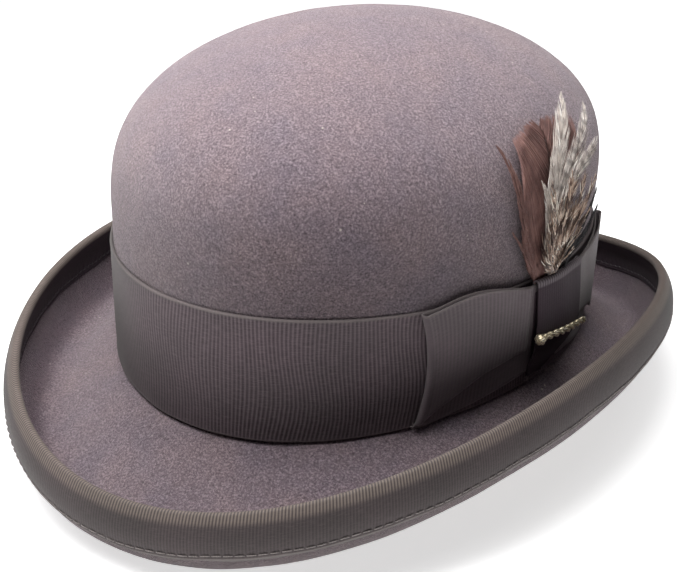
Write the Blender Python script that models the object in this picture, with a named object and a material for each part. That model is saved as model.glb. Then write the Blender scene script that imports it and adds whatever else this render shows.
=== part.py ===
"""A bowler hat of wool felt, with a bound and curled brim, a ribbon band, a bow and a feather trim.

The front of the hat faces -Y and the wearer's left side, with the bow, is +X. The hat stands on the
lowest points of its brim, at the front and at the back, and the origin lies midway between them.
Angles round the hat start at +X and turn towards +Y, the back. Heights on the crown and the band
are counted from the brim break, the level where the brim leaves the crown.
"""

from math import acos, cos, hypot, pi, radians, sin, sqrt, tan

import bmesh
import bpy
from mathutils import Vector

MM = 0.001
COLUMNS = 36
GAP = 0.3 * MM

# Crown: an egg-shaped oval wall, then a dome with a superelliptic profile.
HALF_WIDTH = 87.0 * MM
HALF_LENGTH = 100.3 * MM
EGG = 0.034
FELT = 2.2 * MM
CROWN_HEIGHT = 122.8 * MM
DOME_START = 63.1 * MM
DOME_POWER_UP = 2.75
DOME_POWER_ACROSS = 1.67
APEX_ROUNDING = 0.15
WALL_SWELL = 0.016
CROWN_LEAN = (5.2 * MM, 2.2 * MM)

# Brim: it slopes down from the break, then rolls up through one arc. Sides and ends differ by cos 2t.
BREAK_RISE = 3.3 * MM
BREAK_LEVEL = 0.4 * MM
BREAK_RADIUS = 1.8 * MM
BRIM_SLOPE = radians(34.8)
SLOPE_LENGTH = (23.1 * MM, -14.0 * MM)
CURL_RADIUS = (14.6 * MM, 0.85 * MM)
CURL_SWEEP = radians(163.0)
DIAGONAL_LIFT = 1.7 * MM
CURL_STEP = radians(15.0)

# Ribbon binding on the brim's edge, and the stitches along it.
BINDING_THICKNESS = 0.45 * MM
BINDING_OUTER_WIDTH = 15.7 * MM
BINDING_INNER_WIDTH = 13.0 * MM
STITCH_EDGE = 1.6 * MM
THREAD_RADIUS = 0.3 * MM

# Hat band and bow, all on the outside of the crown wall.
BAND_THICKNESS = 0.8 * MM
BAND_BOTTOM = 1.4 * MM
BAND_TOP = 45.6 * MM
RIBBON = 0.5 * MM
KNOT_FROM = radians(-14.5)
KNOT_TO = radians(1.5)
KNOT_BOTTOM = 7.6 * MM
KNOT_TOP = 46.6 * MM
KNOT_BACK = 3.2 * MM
KNOT_FRONT = 6.3 * MM
WING_END_FRONT = radians(-41.5)
WING_END_REAR = radians(29.0)
WING_SPLIT = radians(-6.5)
WING_APART = radians(1.0)
WING_BACK = (4.3 * MM, 1.75 * MM)
WING_FRONT = (5.15 * MM, 3.55 * MM)

# Bar pin on the knot.
PIN_FROM = radians(-14.8)
PIN_TO = radians(3.6)
PIN_START_HEIGHT = 23.4 * MM
PIN_END_HEIGHT = 19.6 * MM
PIN_TALL = 2.6 * MM
PIN_THICK = 1.1 * MM
PIN_OUT = KNOT_FRONT + GAP
PRONG_RADIUS = 0.35 * MM
PRONG_HOLE = 0.75 * MM
BEAD_RADIUS = 1.9 * MM

# Feather trim: quills side by side on a card in the pocket behind the bow.
QUILL_RADIUS = 0.35 * MM
QUILL_OUT = 2.55 * MM
QUILL_BOTTOM = 17.0 * MM
POCKET_TOP = 47.5 * MM
CARD_OUT = 1.65 * MM
CARD_THICKNESS = 0.5 * MM
CARD_BOTTOM = 19.0 * MM
CARD_TOP = 43.0 * MM
CARD_FROM = radians(-13.2)
CARD_TO = radians(-0.2)

# Sweatband and lining, all on the inside of the crown.
LINING = 0.4 * MM
LINING_OUT = -(FELT + 0.8 * MM)
LINING_BOTTOM = 5.0 * MM
SWEATBAND = 1.0 * MM
SWEATBAND_OUT = LINING_OUT - LINING - GAP
SWEATBAND_BOTTOM = 1.8 * MM
SWEATBAND_TOP = 58.0 * MM
REED_RADIUS = 0.9 * MM
PIPING_RADIUS = 0.8 * MM
SIZE_BOW_HALF_WIDTH = 8.0 * MM
SIZE_BOW_HALF_HEIGHT = 3.4 * MM
SIZE_BOW_THICKNESS = 1.4 * MM
SIZE_BOW_HEIGHT = 9.0 * MM
SIZE_BOW_GAP = 0.8 * MM

WALL_STATIONS = [4.0 * MM, 17.0 * MM, 31.0 * MM, 46.0 * MM, 58.0 * MM]
DOME_ANGLES = [radians(a) for a in (0, 8, 18, 30, 43, 57, 71, 82)]
TIP_FIRST = 5
TIP_SEAM = radians(50)
SEAM_ALLOWANCE = radians(3)


def column_angle(index):
    """Columns straddle the front, the back and both sides evenly."""
    return (index + 0.5) * 2 * pi / COLUMNS


def oval(t, out=0.0):
    """A point (x, y) on the head oval, pushed out along the oval's own normal."""
    c, s = cos(t), sin(t)
    x, y = HALF_WIDTH * c * (1 + EGG * s), HALF_LENGTH * s
    run_x = HALF_WIDTH * (-s * (1 + EGG * s) + c * EGG * c)
    run_y = HALF_LENGTH * c
    length = hypot(run_x, run_y)
    return x + out * run_y / length, y - out * run_x / length


def leaned(x, y, height):
    """The whole crown leans a little, by the square of the height above the break."""
    share = (max(height, 0.0) / CROWN_HEIGHT) ** 2
    return x + CROWN_LEAN[0] * share, y + CROWN_LEAN[1] * share


def wall_point(t, height, out=0.0):
    """A point on the crown's upright wall, at a height above the break."""
    x, y = oval(t, out)
    swell = 1 + WALL_SWELL * height / DOME_START
    x, y = leaned(x * swell, y * swell, height)
    return Vector((x, y, BREAK_HEIGHT + height))


def dome_point(t, angle, out=0.0):
    """A point on the dome: angle 0 is its foot and a quarter turn is the apex."""
    power = DOME_POWER_ACROSS
    norm = (1 + APEX_ROUNDING**2) ** (power / 2) - APEX_ROUNDING**power
    inner = (norm * cos(angle) ** 2 + APEX_ROUNDING**power) ** (2 / power) - APEX_ROUNDING**2
    scale = sqrt(max(inner, 0.0)) * (1 + WALL_SWELL)
    height = DOME_START + (CROWN_HEIGHT + out - DOME_START) * sin(angle) ** (2 / DOME_POWER_UP)
    x, y = oval(t, out)
    x, y = leaned(x * scale, y * scale, height)
    return Vector((x, y, BREAK_HEIGHT + height))


def crown_point(t, height, out=0.0):
    """A point on the wall or the dome, whichever is at that height."""
    if height <= DOME_START:
        return wall_point(t, height, out)
    share = (height - DOME_START) / (CROWN_HEIGHT + out - DOME_START)
    return dome_point(t, asin_clamped(min(share, 1.0) ** (DOME_POWER_UP / 2)), out)


def asin_clamped(value):
    return pi / 2 - acos(max(-1.0, min(1.0, value)))


def crown_frame(t, height, out=0.0):
    """Where a point on the crown is, with the directions along the oval, up the surface and out of it."""
    step = radians(0.5)
    rise = 0.5 * MM
    here = crown_point(t, height, out)
    along = (crown_point(t + step, height, out) - crown_point(t - step, height, out)).normalized()
    up = (crown_point(t, height + rise, out) - crown_point(t, height - rise, out)).normalized()
    return here, along, up, along.cross(up).normalized()


def around(base_and_change, t):
    """A size that changes from the sides of the hat to its ends."""
    base, change = base_and_change
    return base + change * cos(2 * t)


def brim_station(t, slope_share=1.0, curl_angle=None):
    """(out, height, direction) of the brim's middle surface: along the slope, or on the curl."""
    length, radius = around(SLOPE_LENGTH, t), around(CURL_RADIUS, t)
    run = length * slope_share
    out = -FELT / 2 + run * cos(BRIM_SLOPE)
    height = BREAK_LEVEL + BREAK_RISE * cos(2 * t) - run * sin(BRIM_SLOPE)
    height -= DIAGONAL_LIFT * cos(4 * t) * slope_share
    if curl_angle is None:
        return out, height, -BRIM_SLOPE
    out += radius * (sin(curl_angle) + sin(BRIM_SLOPE))
    height += radius * (cos(BRIM_SLOPE) - cos(curl_angle))
    return out, height, curl_angle


def brim_point(t, station, above=0.0):
    """A point off the brim's middle surface, by a distance towards its upper side."""
    out, height, direction = station
    x, y = oval(t, out - above * sin(direction))
    return Vector((x, y, BREAK_HEIGHT + height + above * cos(direction)))


def lip_angle():
    return CURL_SWEEP - BRIM_SLOPE


def curl_angles():
    """Row angles on the curl. Two of them lie evenly about the lowest line, where the hat rests."""
    first = -BRIM_SLOPE
    below = [-CURL_STEP / 2 - k * CURL_STEP for k in range(3)]
    angles = [a for a in reversed(below) if a > first + CURL_STEP / 3]
    while angles[-1] + CURL_STEP < lip_angle() - CURL_STEP / 3:
        angles.append(angles[-1] + CURL_STEP)
    return [first] + angles + [lip_angle()]


def resting_drop():
    """How far the felt's underside reaches below the break level, at the front and the back."""
    t = -pi / 2 + pi / COLUMNS
    _, height, _ = brim_station(t, 1.0, CURL_STEP / 2)
    return FELT / 2 * cos(CURL_STEP / 2) - height


BREAK_HEIGHT = 0.0
BREAK_HEIGHT = resting_drop()


def material(name, color, roughness, metallic=0.0):
    made = bpy.data.materials.get(name)
    if made is None:
        made = bpy.data.materials.new(name)
        made.use_nodes = True
        shader = made.node_tree.nodes["Principled BSDF"]
        shader.inputs["Base Color"].default_value = (*color, 1.0)
        shader.inputs["Roughness"].default_value = roughness
        shader.inputs["Metallic"].default_value = metallic
        made.diffuse_color = (*color, 1.0)
    return made


FELT_LOOK = ("wool_felt", (0.19, 0.15, 0.17), 0.95)
BAND_LOOK = ("band_grosgrain", (0.052, 0.040, 0.046), 0.75)
BINDING_LOOK = ("binding_grosgrain", (0.098, 0.076, 0.082), 0.8)
THREAD_LOOK = ("sewing_thread", (0.11, 0.09, 0.095), 0.8)
GOLD_LOOK = ("gold_tone_brass", (0.62, 0.48, 0.26), 0.3, 0.9)
BROWN_LOOK = ("brown_feather", (0.155, 0.074, 0.064), 0.7)
GRIZZLY_LOOK = ("grizzly_feather", (0.46, 0.38, 0.33), 0.7)
BLACK_LOOK = ("black_feather", (0.02, 0.017, 0.018), 0.6)
LEATHER_LOOK = ("sweatband_leather", (0.16, 0.075, 0.035), 0.5)
SATIN_LOOK = ("lining_satin", (0.55, 0.5, 0.44), 0.35)
CARD_LOOK = ("backing_card", (0.05, 0.045, 0.045), 0.9)


def solid(name, points, faces, look):
    """One closed body from points and faces, smooth-shaded, with its origin at the hat's own."""
    mesh = bpy.data.meshes.new(name)
    mesh.from_pydata([tuple(p) for p in points], [], faces)
    shell = bmesh.new()
    shell.from_mesh(mesh)
    bmesh.ops.recalc_face_normals(shell, faces=shell.faces)
    shell.to_mesh(mesh)
    shell.free()
    mesh.shade_smooth()
    mesh.set_sharp_from_angle(angle=radians(40))
    made = bpy.data.objects.new(name, mesh)
    bpy.context.scene.collection.objects.link(made)
    mesh.materials.append(material(*look))
    return made


def loft(name, rings, look, closed_way_round=False):
    """A body through equal closed rings of points. It ends in flat caps, or joins its own start."""
    points = [p for ring in rings for p in ring]
    size, count = len(rings[0]), len(rings)
    faces = []
    for k in range(count if closed_way_round else count - 1):
        low, high = k * size, (k + 1) % count * size
        for i in range(size):
            j = (i + 1) % size
            faces.append((low + i, low + j, high + j, high + i))
    if not closed_way_round:
        faces.append(tuple(range(size)))
        faces.append(tuple((count - 1) * size + i for i in range(size)))
    return solid(name, points, faces, look)


def all_round(name, section, look):
    """A body whose cross-section at each angle round the hat is a closed ring of points."""
    rings = [section(column_angle(k)) for k in range(COLUMNS)]
    return loft(name, rings, look, closed_way_round=True)


def wall_shell(name, bottom, top, outside, thickness, look):
    """A ribbon or band that stands on the crown's wall. bottom is a function of the angle."""
    inside = outside - thickness
    middle = [h for h in WALL_STATIONS if h < top - 3 * MM]

    def section(t):
        low = bottom(t)
        heights = [low] + [h for h in middle if h > 9 * MM] + [top]
        outer = [wall_point(t, h, outside) for h in heights]
        inner = [wall_point(t, h, inside) for h in reversed(heights)]
        return outer + inner

    return all_round(name, section, look)


def tube_section(centre, outward, radius, sides):
    """A round section in the upright plane that holds the outward direction."""
    up = Vector((0, 0, 1))
    turns = [2 * pi * k / sides for k in range(sides)]
    return [centre + radius * (cos(a) * outward + sin(a) * up) for a in turns]


def outward_at(t):
    return (Vector(oval(t, 1.0)) - Vector(oval(t))).to_3d().normalized()


def follow_break(offset):
    """A height that stays at one distance from the wavy brim break."""
    return lambda t: BREAK_RISE * cos(2 * t) + offset


def build_felt_body():
    """Crown and brim in one piece of felt: outside rows, round the lip, then inside rows."""
    rings = []
    half = FELT / 2
    tangent = BREAK_RADIUS * tan((pi / 2 - BRIM_SLOPE) / 2)
    turn_angles = [-pi / 2, -(pi / 2 + BRIM_SLOPE) / 2, -BRIM_SLOPE]

    def break_rows(t, side):
        """The small fillet between wall and brim, as (out, height, direction) stations."""
        share = tangent / around(SLOPE_LENGTH, t)
        out_end, height_end, _ = brim_station(t, share)
        centre_out = out_end + BREAK_RADIUS * sin(BRIM_SLOPE)
        centre_height = height_end + BREAK_RADIUS * cos(BRIM_SLOPE)
        stations = []
        for a in turn_angles:
            out = centre_out + BREAK_RADIUS * sin(a)
            stations.append((out, centre_height - BREAK_RADIUS * cos(a), a))
        return [brim_point(t, s, side * half) for s in stations]

    def one_side(t, side):
        out = 0.0 if side > 0 else -FELT
        rows = [dome_point(t, a, out) for a in reversed(DOME_ANGLES)]
        rows += [wall_point(t, h, out) for h in reversed(WALL_STATIONS[1:])]
        rows.append(wall_point(t, WALL_STATIONS[0] + BREAK_RISE * cos(2 * t) + 2 * MM, out))
        rows += break_rows(t, side)
        for share in (0.5, 1.0):
            rows.append(brim_point(t, brim_station(t, share), side * half))
        for a in curl_angles()[1:]:
            rows.append(brim_point(t, brim_station(t, 1.0, a), side * half))
        return rows

    def lip_rows(t):
        """Half-round edge of the felt."""
        out, height, direction = brim_station(t, 1.0, lip_angle())
        rows = []
        for k in (1, 2, 3):
            a = direction + pi / 2 - k * pi / 4
            x, y = oval(t, out + half * cos(a))
            rows.append(Vector((x, y, BREAK_HEIGHT + height + half * sin(a))))
        return rows

    for k in range(COLUMNS):
        t = column_angle(k)
        rings.append(one_side(t, 1) + lip_rows(t) + list(reversed(one_side(t, -1))))
    rows = len(rings[0])
    points = [p for ring in rings for p in ring]
    faces = []
    for k in range(COLUMNS):
        near, far = k * rows, (k + 1) % COLUMNS * rows
        for r in range(rows - 1):
            faces.append((near + r, near + r + 1, far + r + 1, far + r))
    for row, out in ((0, 0.0), (rows - 1, -FELT)):
        apex = len(points)
        points.append(dome_point(0.0, pi / 2, out))
        for k in range(COLUMNS):
            faces.append((k * rows + row, (k + 1) % COLUMNS * rows + row, apex))
    return solid("felt_body", points, faces, FELT_LOOK)


def binding_angles(t, width, above):
    """Curl angles from a binding's hem to the lip, for a hem at a distance round the curl."""
    sweep = width / (around(CURL_RADIUS, t) - above)
    steps = 5
    return [lip_angle() - sweep * (1 - k / steps) for k in range(steps + 1)]


def build_brim_binding():
    """Ribbon folded over the lip: outer leg, a round fold, and the inner leg."""
    near = FELT / 2 + GAP
    far = near + BINDING_THICKNESS

    def fold(t, radius):
        out, height, direction = brim_station(t, 1.0, lip_angle())
        rows = []
        for k in range(1, 4):
            a = direction - pi / 2 + k * pi / 4
            x, y = oval(t, out + radius * cos(a))
            rows.append(Vector((x, y, BREAK_HEIGHT + height + radius * sin(a))))
        return rows

    def leg(t, width, above):
        angles = binding_angles(t, width, above)
        return [brim_point(t, brim_station(t, 1.0, a), above) for a in angles]

    def section(t):
        skin = leg(t, BINDING_OUTER_WIDTH, -far) + fold(t, far)
        skin += list(reversed(leg(t, BINDING_INNER_WIDTH, far)))
        core = leg(t, BINDING_INNER_WIDTH, near) + list(reversed(fold(t, near)))
        core += list(reversed(leg(t, BINDING_OUTER_WIDTH, -near)))
        return skin + core

    return all_round("brim_binding", section, BINDING_LOOK)


def build_binding_stitches(name, side, width):
    """One continuous thread that lies on the binding, close to its hem."""
    lift = FELT / 2 + GAP + BINDING_THICKNESS + GAP + THREAD_RADIUS

    def section(t):
        sweep = (width - STITCH_EDGE) / (around(CURL_RADIUS, t) - side * lift)
        centre = brim_point(t, brim_station(t, 1.0, lip_angle() - sweep), side * lift)
        return tube_section(centre, outward_at(t), THREAD_RADIUS, 4)

    return all_round(name, section, THREAD_LOOK)


def build_hat_band():
    outside = GAP + BAND_THICKNESS
    return wall_shell("hat_band", follow_break(BAND_BOTTOM), BAND_TOP, outside, BAND_THICKNESS, BAND_LOOK)


def ribbon_loop(name, path, look):
    """A folded ribbon: path holds (angle, out, low, high) down the middle of the ribbon's plies."""
    rings = []
    for k, (t, out, low, high) in enumerate(path):
        before, after = path[max(k - 1, 0)], path[min(k + 1, len(path) - 1)]
        run = oval_distance(before[0], after[0])
        away = after[1] - before[1]
        length = hypot(run, away)
        side_out = RIBBON / 2 * run / length
        side_along = -RIBBON / 2 * away / length
        ring = []
        for sign, edge in ((1, low), (1, high), (-1, high), (-1, low)):
            shifted = t + sign * side_along / HALF_LENGTH
            ring.append(crown_point(shifted, edge, out + sign * side_out))
        rings.append(ring)
    return loft(name, rings, look)


def oval_distance(t_from, t_to):
    """Signed distance along the oval between two near angles."""
    ends = Vector(oval(t_to)) - Vector(oval(t_from))
    return ends.length if t_to > t_from else -ends.length


def mixed(a, b, share):
    return a + (b - a) * share


def build_wing(name, root, mouth, tip, lows):
    """One wing of the bow: a back ply from inside the knot to the tip, a fold, and a front ply back.

    root, mouth and tip are the angles where the plies end, leave the knot and turn back.
    lows holds the heights of the lower edge: at the tip, of the back ply at the knot, and of the front ply there.
    """
    tip_low, back_low, front_low = lows
    direction = 1 if tip > root else -1
    shares = [-0.2] + [k / 6 for k in range(7)]

    def ply(out_at_knot, out_at_tip, low_at_knot):
        stations = []
        for share in shares:
            t = root if share < 0 else mixed(mouth, tip, share)
            open_share = max(share, 0.0)
            low = mixed(low_at_knot, tip_low, open_share)
            out = mixed(out_at_knot, out_at_tip, sin(open_share * pi / 2))
            stations.append((t, out, low, wing_top(open_share)))
        return stations

    fold_out = (WING_BACK[1] + WING_FRONT[1]) / 2
    fold_radius = (WING_FRONT[1] - WING_BACK[1]) / 2
    fold = []
    for k in (1, 2, 3):
        a = -pi / 2 + k * pi / 4
        shifted = tip + direction * fold_radius * cos(a) / HALF_LENGTH
        fold.append((shifted, fold_out + fold_radius * sin(a), tip_low, wing_top(1.0)))
    path = ply(*WING_BACK, back_low) + fold + list(reversed(ply(*WING_FRONT, front_low)))
    return ribbon_loop(name, path, BAND_LOOK)


def wing_top(share):
    """The wings bulge up a little over the band between the knot and the tip."""
    return mixed(44.0 * MM, 44.6 * MM, share) + 2.6 * MM * sin(pi * share) ** 2


def build_bow_knot():
    """A flat tube of ribbon round the two wings, pinched at its foot on the rear side."""
    columns = 6
    rings = []
    for k in range(columns + 1):
        share = k / columns
        ring = []
        for inner in (False, True):
            thick = RIBBON if inner else 0.0
            outline = knot_outline(share, thick)
            ring.append(outline)
        rings.append(ring)
    size = len(rings[0][0])
    points = [p for pair in rings for outline in pair for p in outline]
    faces = []
    for k in range(columns):
        for layer in (0, 1):
            low, high = (2 * k + layer) * size, (2 * (k + 1) + layer) * size
            for i in range(size):
                j = (i + 1) % size
                faces.append((low + i, low + j, high + j, high + i))
    for k in (0, columns):
        outer, inner = 2 * k * size, (2 * k + 1) * size
        for i in range(size):
            j = (i + 1) % size
            faces.append((outer + i, outer + j, inner + j, inner + i))
    return solid("bow_knot", points, faces, BAND_LOOK)


def knot_outline(share, thick):
    """The knot's section at a share of its width: a rounded upright loop, shrunk by a thickness."""
    corner = 1.0 * MM
    low, high = KNOT_BOTTOM + thick, KNOT_TOP - thick
    back, front = KNOT_BACK + thick, KNOT_FRONT - thick
    radius = max(corner - thick, 0.3 * MM)
    outline = []
    corners = ((front, low, -pi / 2), (front, high, 0.0), (back, high, pi / 2), (back, low, pi))
    for out, height, start in corners:
        centre_out = out + (radius if out == back else -radius)
        centre_height = height + (radius if height == low else -radius)
        for k in range(3):
            a = start + k * pi / 4
            place = (centre_out + radius * cos(a), centre_height + radius * sin(a))
            outline.append(place)
        if start == -pi / 2:
            outline += [(front, mixed(low, high, s)) for s in (0.25, 0.5, 0.75)]
        if start == pi / 2:
            outline += [(back, mixed(high, low, s)) for s in (0.25, 0.5, 0.75)]
    points = []
    for out, height in outline:
        pinch = max(0.0, 1 - (height - KNOT_BOTTOM) / (15 * MM))
        end = KNOT_TO - radians(3.5) * pinch
        points.append(crown_point(mixed(KNOT_FROM, end, share), height, out))
    return points


def thread_tack(name, t, height, out):
    """A small knot of thread, as a flattened ball."""
    place, _, _, normal = crown_frame(t, height, out)
    mesh = bpy.data.meshes.new(name)
    ball = bmesh.new()
    bmesh.ops.create_icosphere(ball, subdivisions=1, radius=0.8 * MM)
    bmesh.ops.scale(ball, vec=(1.0, 1.0, 0.6), verts=ball.verts)
    ball.to_mesh(mesh)
    ball.free()
    mesh.shade_smooth()
    made = bpy.data.objects.new(name, mesh)
    bpy.context.scene.collection.objects.link(made)
    mesh.materials.append(material(*THREAD_LOOK))
    made.location = place
    made.rotation_mode = "QUATERNION"
    made.rotation_quaternion = normal.to_track_quat("Z", "Y")
    return made


def hidden_cylinder(name, place, direction, radius, length):
    """A helper for a Boolean modifier, left out of the finished hat."""
    mesh = bpy.data.meshes.new(name)
    rod = bmesh.new()
    bmesh.ops.create_cone(rod, cap_ends=True, segments=8, radius1=radius, radius2=radius, depth=length)
    rod.to_mesh(mesh)
    rod.free()
    made = bpy.data.objects.new(name, mesh)
    bpy.context.scene.collection.objects.link(made)
    made.location = place
    made.rotation_mode = "QUATERNION"
    made.rotation_quaternion = direction.to_track_quat("Z", "Y")
    made.hide_render = True
    made.display_type = "WIRE"
    return made


def add_boolean(target, helper, operation):
    modifier = target.modifiers.new(helper.name, "BOOLEAN")
    modifier.object = helper
    modifier.operation = operation


def pin_place(share, out):
    t = mixed(PIN_FROM, PIN_TO, share)
    return crown_frame(t, mixed(PIN_START_HEIGHT, PIN_END_HEIGHT, share), out)


def build_bar_pin(knot):
    """A slim bar across the knot, with two prongs that go through the ribbon."""
    rings = []
    stations = 10
    for k in range(stations + 1):
        place, _, up, normal = pin_place(k / stations, PIN_OUT + PIN_THICK / 2)
        ring = []
        for i in range(8):
            a = 2 * pi * i / 8
            ring.append(place + up * (PIN_TALL / 2 * cos(a)) + normal * (PIN_THICK / 2 * sin(a)))
        rings.append(ring)
    bar = loft("bar_pin", rings, GOLD_LOOK)
    for number, share in enumerate((0.22, 0.78)):
        place, _, _, normal = pin_place(share, PIN_OUT - 0.35 * MM)
        prong = hidden_cylinder(f"prong_{number}", place, normal, PRONG_RADIUS, 1.6 * MM)
        add_boolean(bar, prong, "UNION")
        hole = hidden_cylinder(f"prong_hole_{number}", place, normal, PRONG_HOLE, 1.9 * MM)
        add_boolean(knot, hole, "DIFFERENCE")
    return bar


def build_pin_bead():
    """The round bead at the bar's front end."""
    reach = BEAD_RADIUS + GAP
    place, along, _, _ = pin_place(0.0, PIN_OUT + PIN_THICK / 2)
    mesh = bpy.data.meshes.new("bar_pin_bead")
    ball = bmesh.new()
    bmesh.ops.create_icosphere(ball, subdivisions=2, radius=BEAD_RADIUS)
    ball.to_mesh(mesh)
    ball.free()
    mesh.shade_smooth()
    made = bpy.data.objects.new("bar_pin_bead", mesh)
    bpy.context.scene.collection.objects.link(made)
    mesh.materials.append(material(*GOLD_LOOK))
    made.location = place - along * reach
    return made


def build_feather(name, quill_at, lie, look, blade):
    """A feather: a thin quill in the pocket, then a flat vane. blade holds (angle, height, half width)."""
    half_thick = 0.35 * MM
    stations = [(quill_at, QUILL_BOTTOM, QUILL_OUT, QUILL_RADIUS, QUILL_RADIUS)]
    for height in (24 * MM, 31 * MM, 38 * MM, POCKET_TOP):
        stations.append((quill_at, height, QUILL_OUT, QUILL_RADIUS, QUILL_RADIUS))
    for k, (angle, height, half_width) in enumerate(blade):
        out = mixed(QUILL_OUT, lie, min(1.0, (k + 1) / 3))
        stations.append((radians(angle), height * MM, out, half_width * MM, half_thick))
    rings = []
    for t, height, out, half_width, thick in stations:
        place, along, _, normal = crown_frame(t, height, out)
        ring = []
        for i in range(6):
            a = 2 * pi * i / 6
            ring.append(place + along * (half_width * cos(a)) + normal * (thick * sin(a)))
        rings.append(ring)
    return loft(name, rings, look)


FEATHERS = [
    ("feather_broad_brown", -11.2, 1.5, BROWN_LOOK,
     [(-11.0, 52, 1.5), (-11.0, 58, 4.0), (-10.5, 68, 7.5), (-10.0, 80, 11.0), (-9.0, 92, 13.0)]),
    ("feather_brown_wisp", -12.8, 2.7, BROWN_LOOK,
     [(-13.6, 52, 0.8), (-15.5, 58, 1.2), (-18.5, 70, 1.8), (-21.5, 83, 1.8), (-25.0, 96, 0.7)]),
    ("feather_grizzly_tall", -8.4, 4.0, GRIZZLY_LOOK,
     [(-8.0, 52, 1.0), (-7.0, 60, 2.2), (-4.0, 74, 3.6), (-1.0, 88, 3.6), (3.0, 102, 0.9)]),
    ("feather_grizzly_short", -6.8, 5.4, GRIZZLY_LOOK,
     [(-6.3, 52, 0.7), (-5.0, 60, 2.0), (0.5, 73, 3.4), (6.0, 86, 3.2), (11.0, 98, 0.9)]),
    ("feather_mottled", -5.2, 6.9, GRIZZLY_LOOK,
     [(-4.7, 52, 0.7), (-4.6, 58, 3.2), (-3.4, 66, 6.0), (-1.6, 74, 5.0), (0.6, 82, 1.2)]),
    ("feather_black", -3.6, 3.3, BLACK_LOOK,
     [(-2.4, 52, 1.0), (0.6, 57, 1.6), (5.0, 62, 1.7), (9.5, 66, 1.4), (13.5, 69, 0.5)]),
]


def build_feather_card():
    """The card that the quills are glued to, inside the pocket."""
    rings = []
    for k in range(4):
        t = mixed(CARD_FROM, CARD_TO, k / 3)
        ring = []
        for sign, height in ((1, CARD_BOTTOM), (1, CARD_TOP), (-1, CARD_TOP), (-1, CARD_BOTTOM)):
            ring.append(crown_point(t, height, CARD_OUT + sign * CARD_THICKNESS / 2))
        rings.append(ring)
    return loft("feather_card", rings, CARD_LOOK)


def build_sweatband():
    """Leather band, its reed at the brim break and the thread that sews them to the felt."""
    wall_shell("sweatband", follow_break(SWEATBAND_BOTTOM), SWEATBAND_TOP, SWEATBAND_OUT, SWEATBAND, LEATHER_LOOK)
    reed_out = -(FELT + GAP + REED_RADIUS)
    reed_height = follow_break(SWEATBAND_BOTTOM - GAP - REED_RADIUS)

    def reed(t):
        return tube_section(wall_point(t, reed_height(t), reed_out), outward_at(t), REED_RADIUS, 5)

    all_round("sweatband_reed", reed, LEATHER_LOOK)
    thread_out = SWEATBAND_OUT - SWEATBAND - GAP - THREAD_RADIUS
    thread_height = follow_break(SWEATBAND_BOTTOM + 1.5 * MM)

    def thread(t):
        return tube_section(wall_point(t, thread_height(t), thread_out), outward_at(t), THREAD_RADIUS, 4)

    all_round("sweatband_stitches", thread, THREAD_LOOK)


def build_size_bow():
    """The flat bow that covers the sweatband's rear seam."""
    outline = []
    turns = 16
    for k in range(turns):
        a = 2 * pi * k / turns
        waist = 0.35 + 0.65 * abs(cos(a)) ** 0.7
        outline.append((SIZE_BOW_HALF_WIDTH * cos(a), SIZE_BOW_HALF_HEIGHT * sin(a) * waist * 1.3))
    face = SWEATBAND_OUT - SWEATBAND - SIZE_BOW_GAP
    height = follow_break(SIZE_BOW_HEIGHT)(pi / 2)
    rings = []
    for out in (face, face - SIZE_BOW_THICKNESS):
        ring = []
        for along, up in outline:
            ring.append(wall_point(pi / 2 - along / HALF_WIDTH, height + up, out))
        rings.append(ring)
    return loft("sweatband_bow", rings, BAND_LOOK)


def dome_shell(name, angles, look):
    """The satin tip: a closed cap that follows the dome from one angle to the apex."""
    points, faces = [], []
    rows = len(angles)
    for out in (LINING_OUT, LINING_OUT - LINING):
        for angle in angles:
            points += [dome_point(column_angle(k), angle, out) for k in range(COLUMNS)]
        points.append(dome_point(0.0, pi / 2, out))
    layer = rows * COLUMNS + 1
    for base in (0, layer):
        for r in range(rows - 1):
            for k in range(COLUMNS):
                j = (k + 1) % COLUMNS
                low, high = base + r * COLUMNS, base + (r + 1) * COLUMNS
                faces.append((low + k, low + j, high + j, high + k))
        top = base + (rows - 1) * COLUMNS
        for k in range(COLUMNS):
            faces.append((top + k, top + (k + 1) % COLUMNS, base + layer - 1))
    for k in range(COLUMNS):
        j = (k + 1) % COLUMNS
        faces.append((k, j, layer + j, layer + k))
    return solid(name, points, faces, look)


def build_lining():
    """Side strip up to the tip seam, the piping on the seam, and the tip itself."""
    side_angles = DOME_ANGLES[:TIP_FIRST] + [TIP_SEAM - SEAM_ALLOWANCE]

    def side(t):
        low = BREAK_RISE * cos(2 * t) + LINING_BOTTOM
        heights = [low] + WALL_STATIONS[1:]
        outer = [wall_point(t, h, LINING_OUT) for h in heights]
        outer += [dome_point(t, a, LINING_OUT) for a in side_angles]
        inner = [wall_point(t, h, LINING_OUT - LINING) for h in heights]
        inner += [dome_point(t, a, LINING_OUT - LINING) for a in side_angles]
        return outer + list(reversed(inner))

    all_round("lining_side", side, SATIN_LOOK)
    dome_shell("lining_tip", [TIP_SEAM + SEAM_ALLOWANCE] + DOME_ANGLES[TIP_FIRST:], SATIN_LOOK)
    piping_out = LINING_OUT - LINING - PIPING_RADIUS

    def piping(t):
        return tube_section(dome_point(t, TIP_SEAM, piping_out), outward_at(t), PIPING_RADIUS, 5)

    all_round("lining_piping", piping, SATIN_LOOK)


def slide_direction():
    """The feather trim slides up along the wall, in the pocket behind the knot."""
    middle = (KNOT_FROM + KNOT_TO) / 2
    return (wall_point(middle, KNOT_TOP, QUILL_OUT) - wall_point(middle, QUILL_BOTTOM, QUILL_OUT)).normalized()


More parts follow.
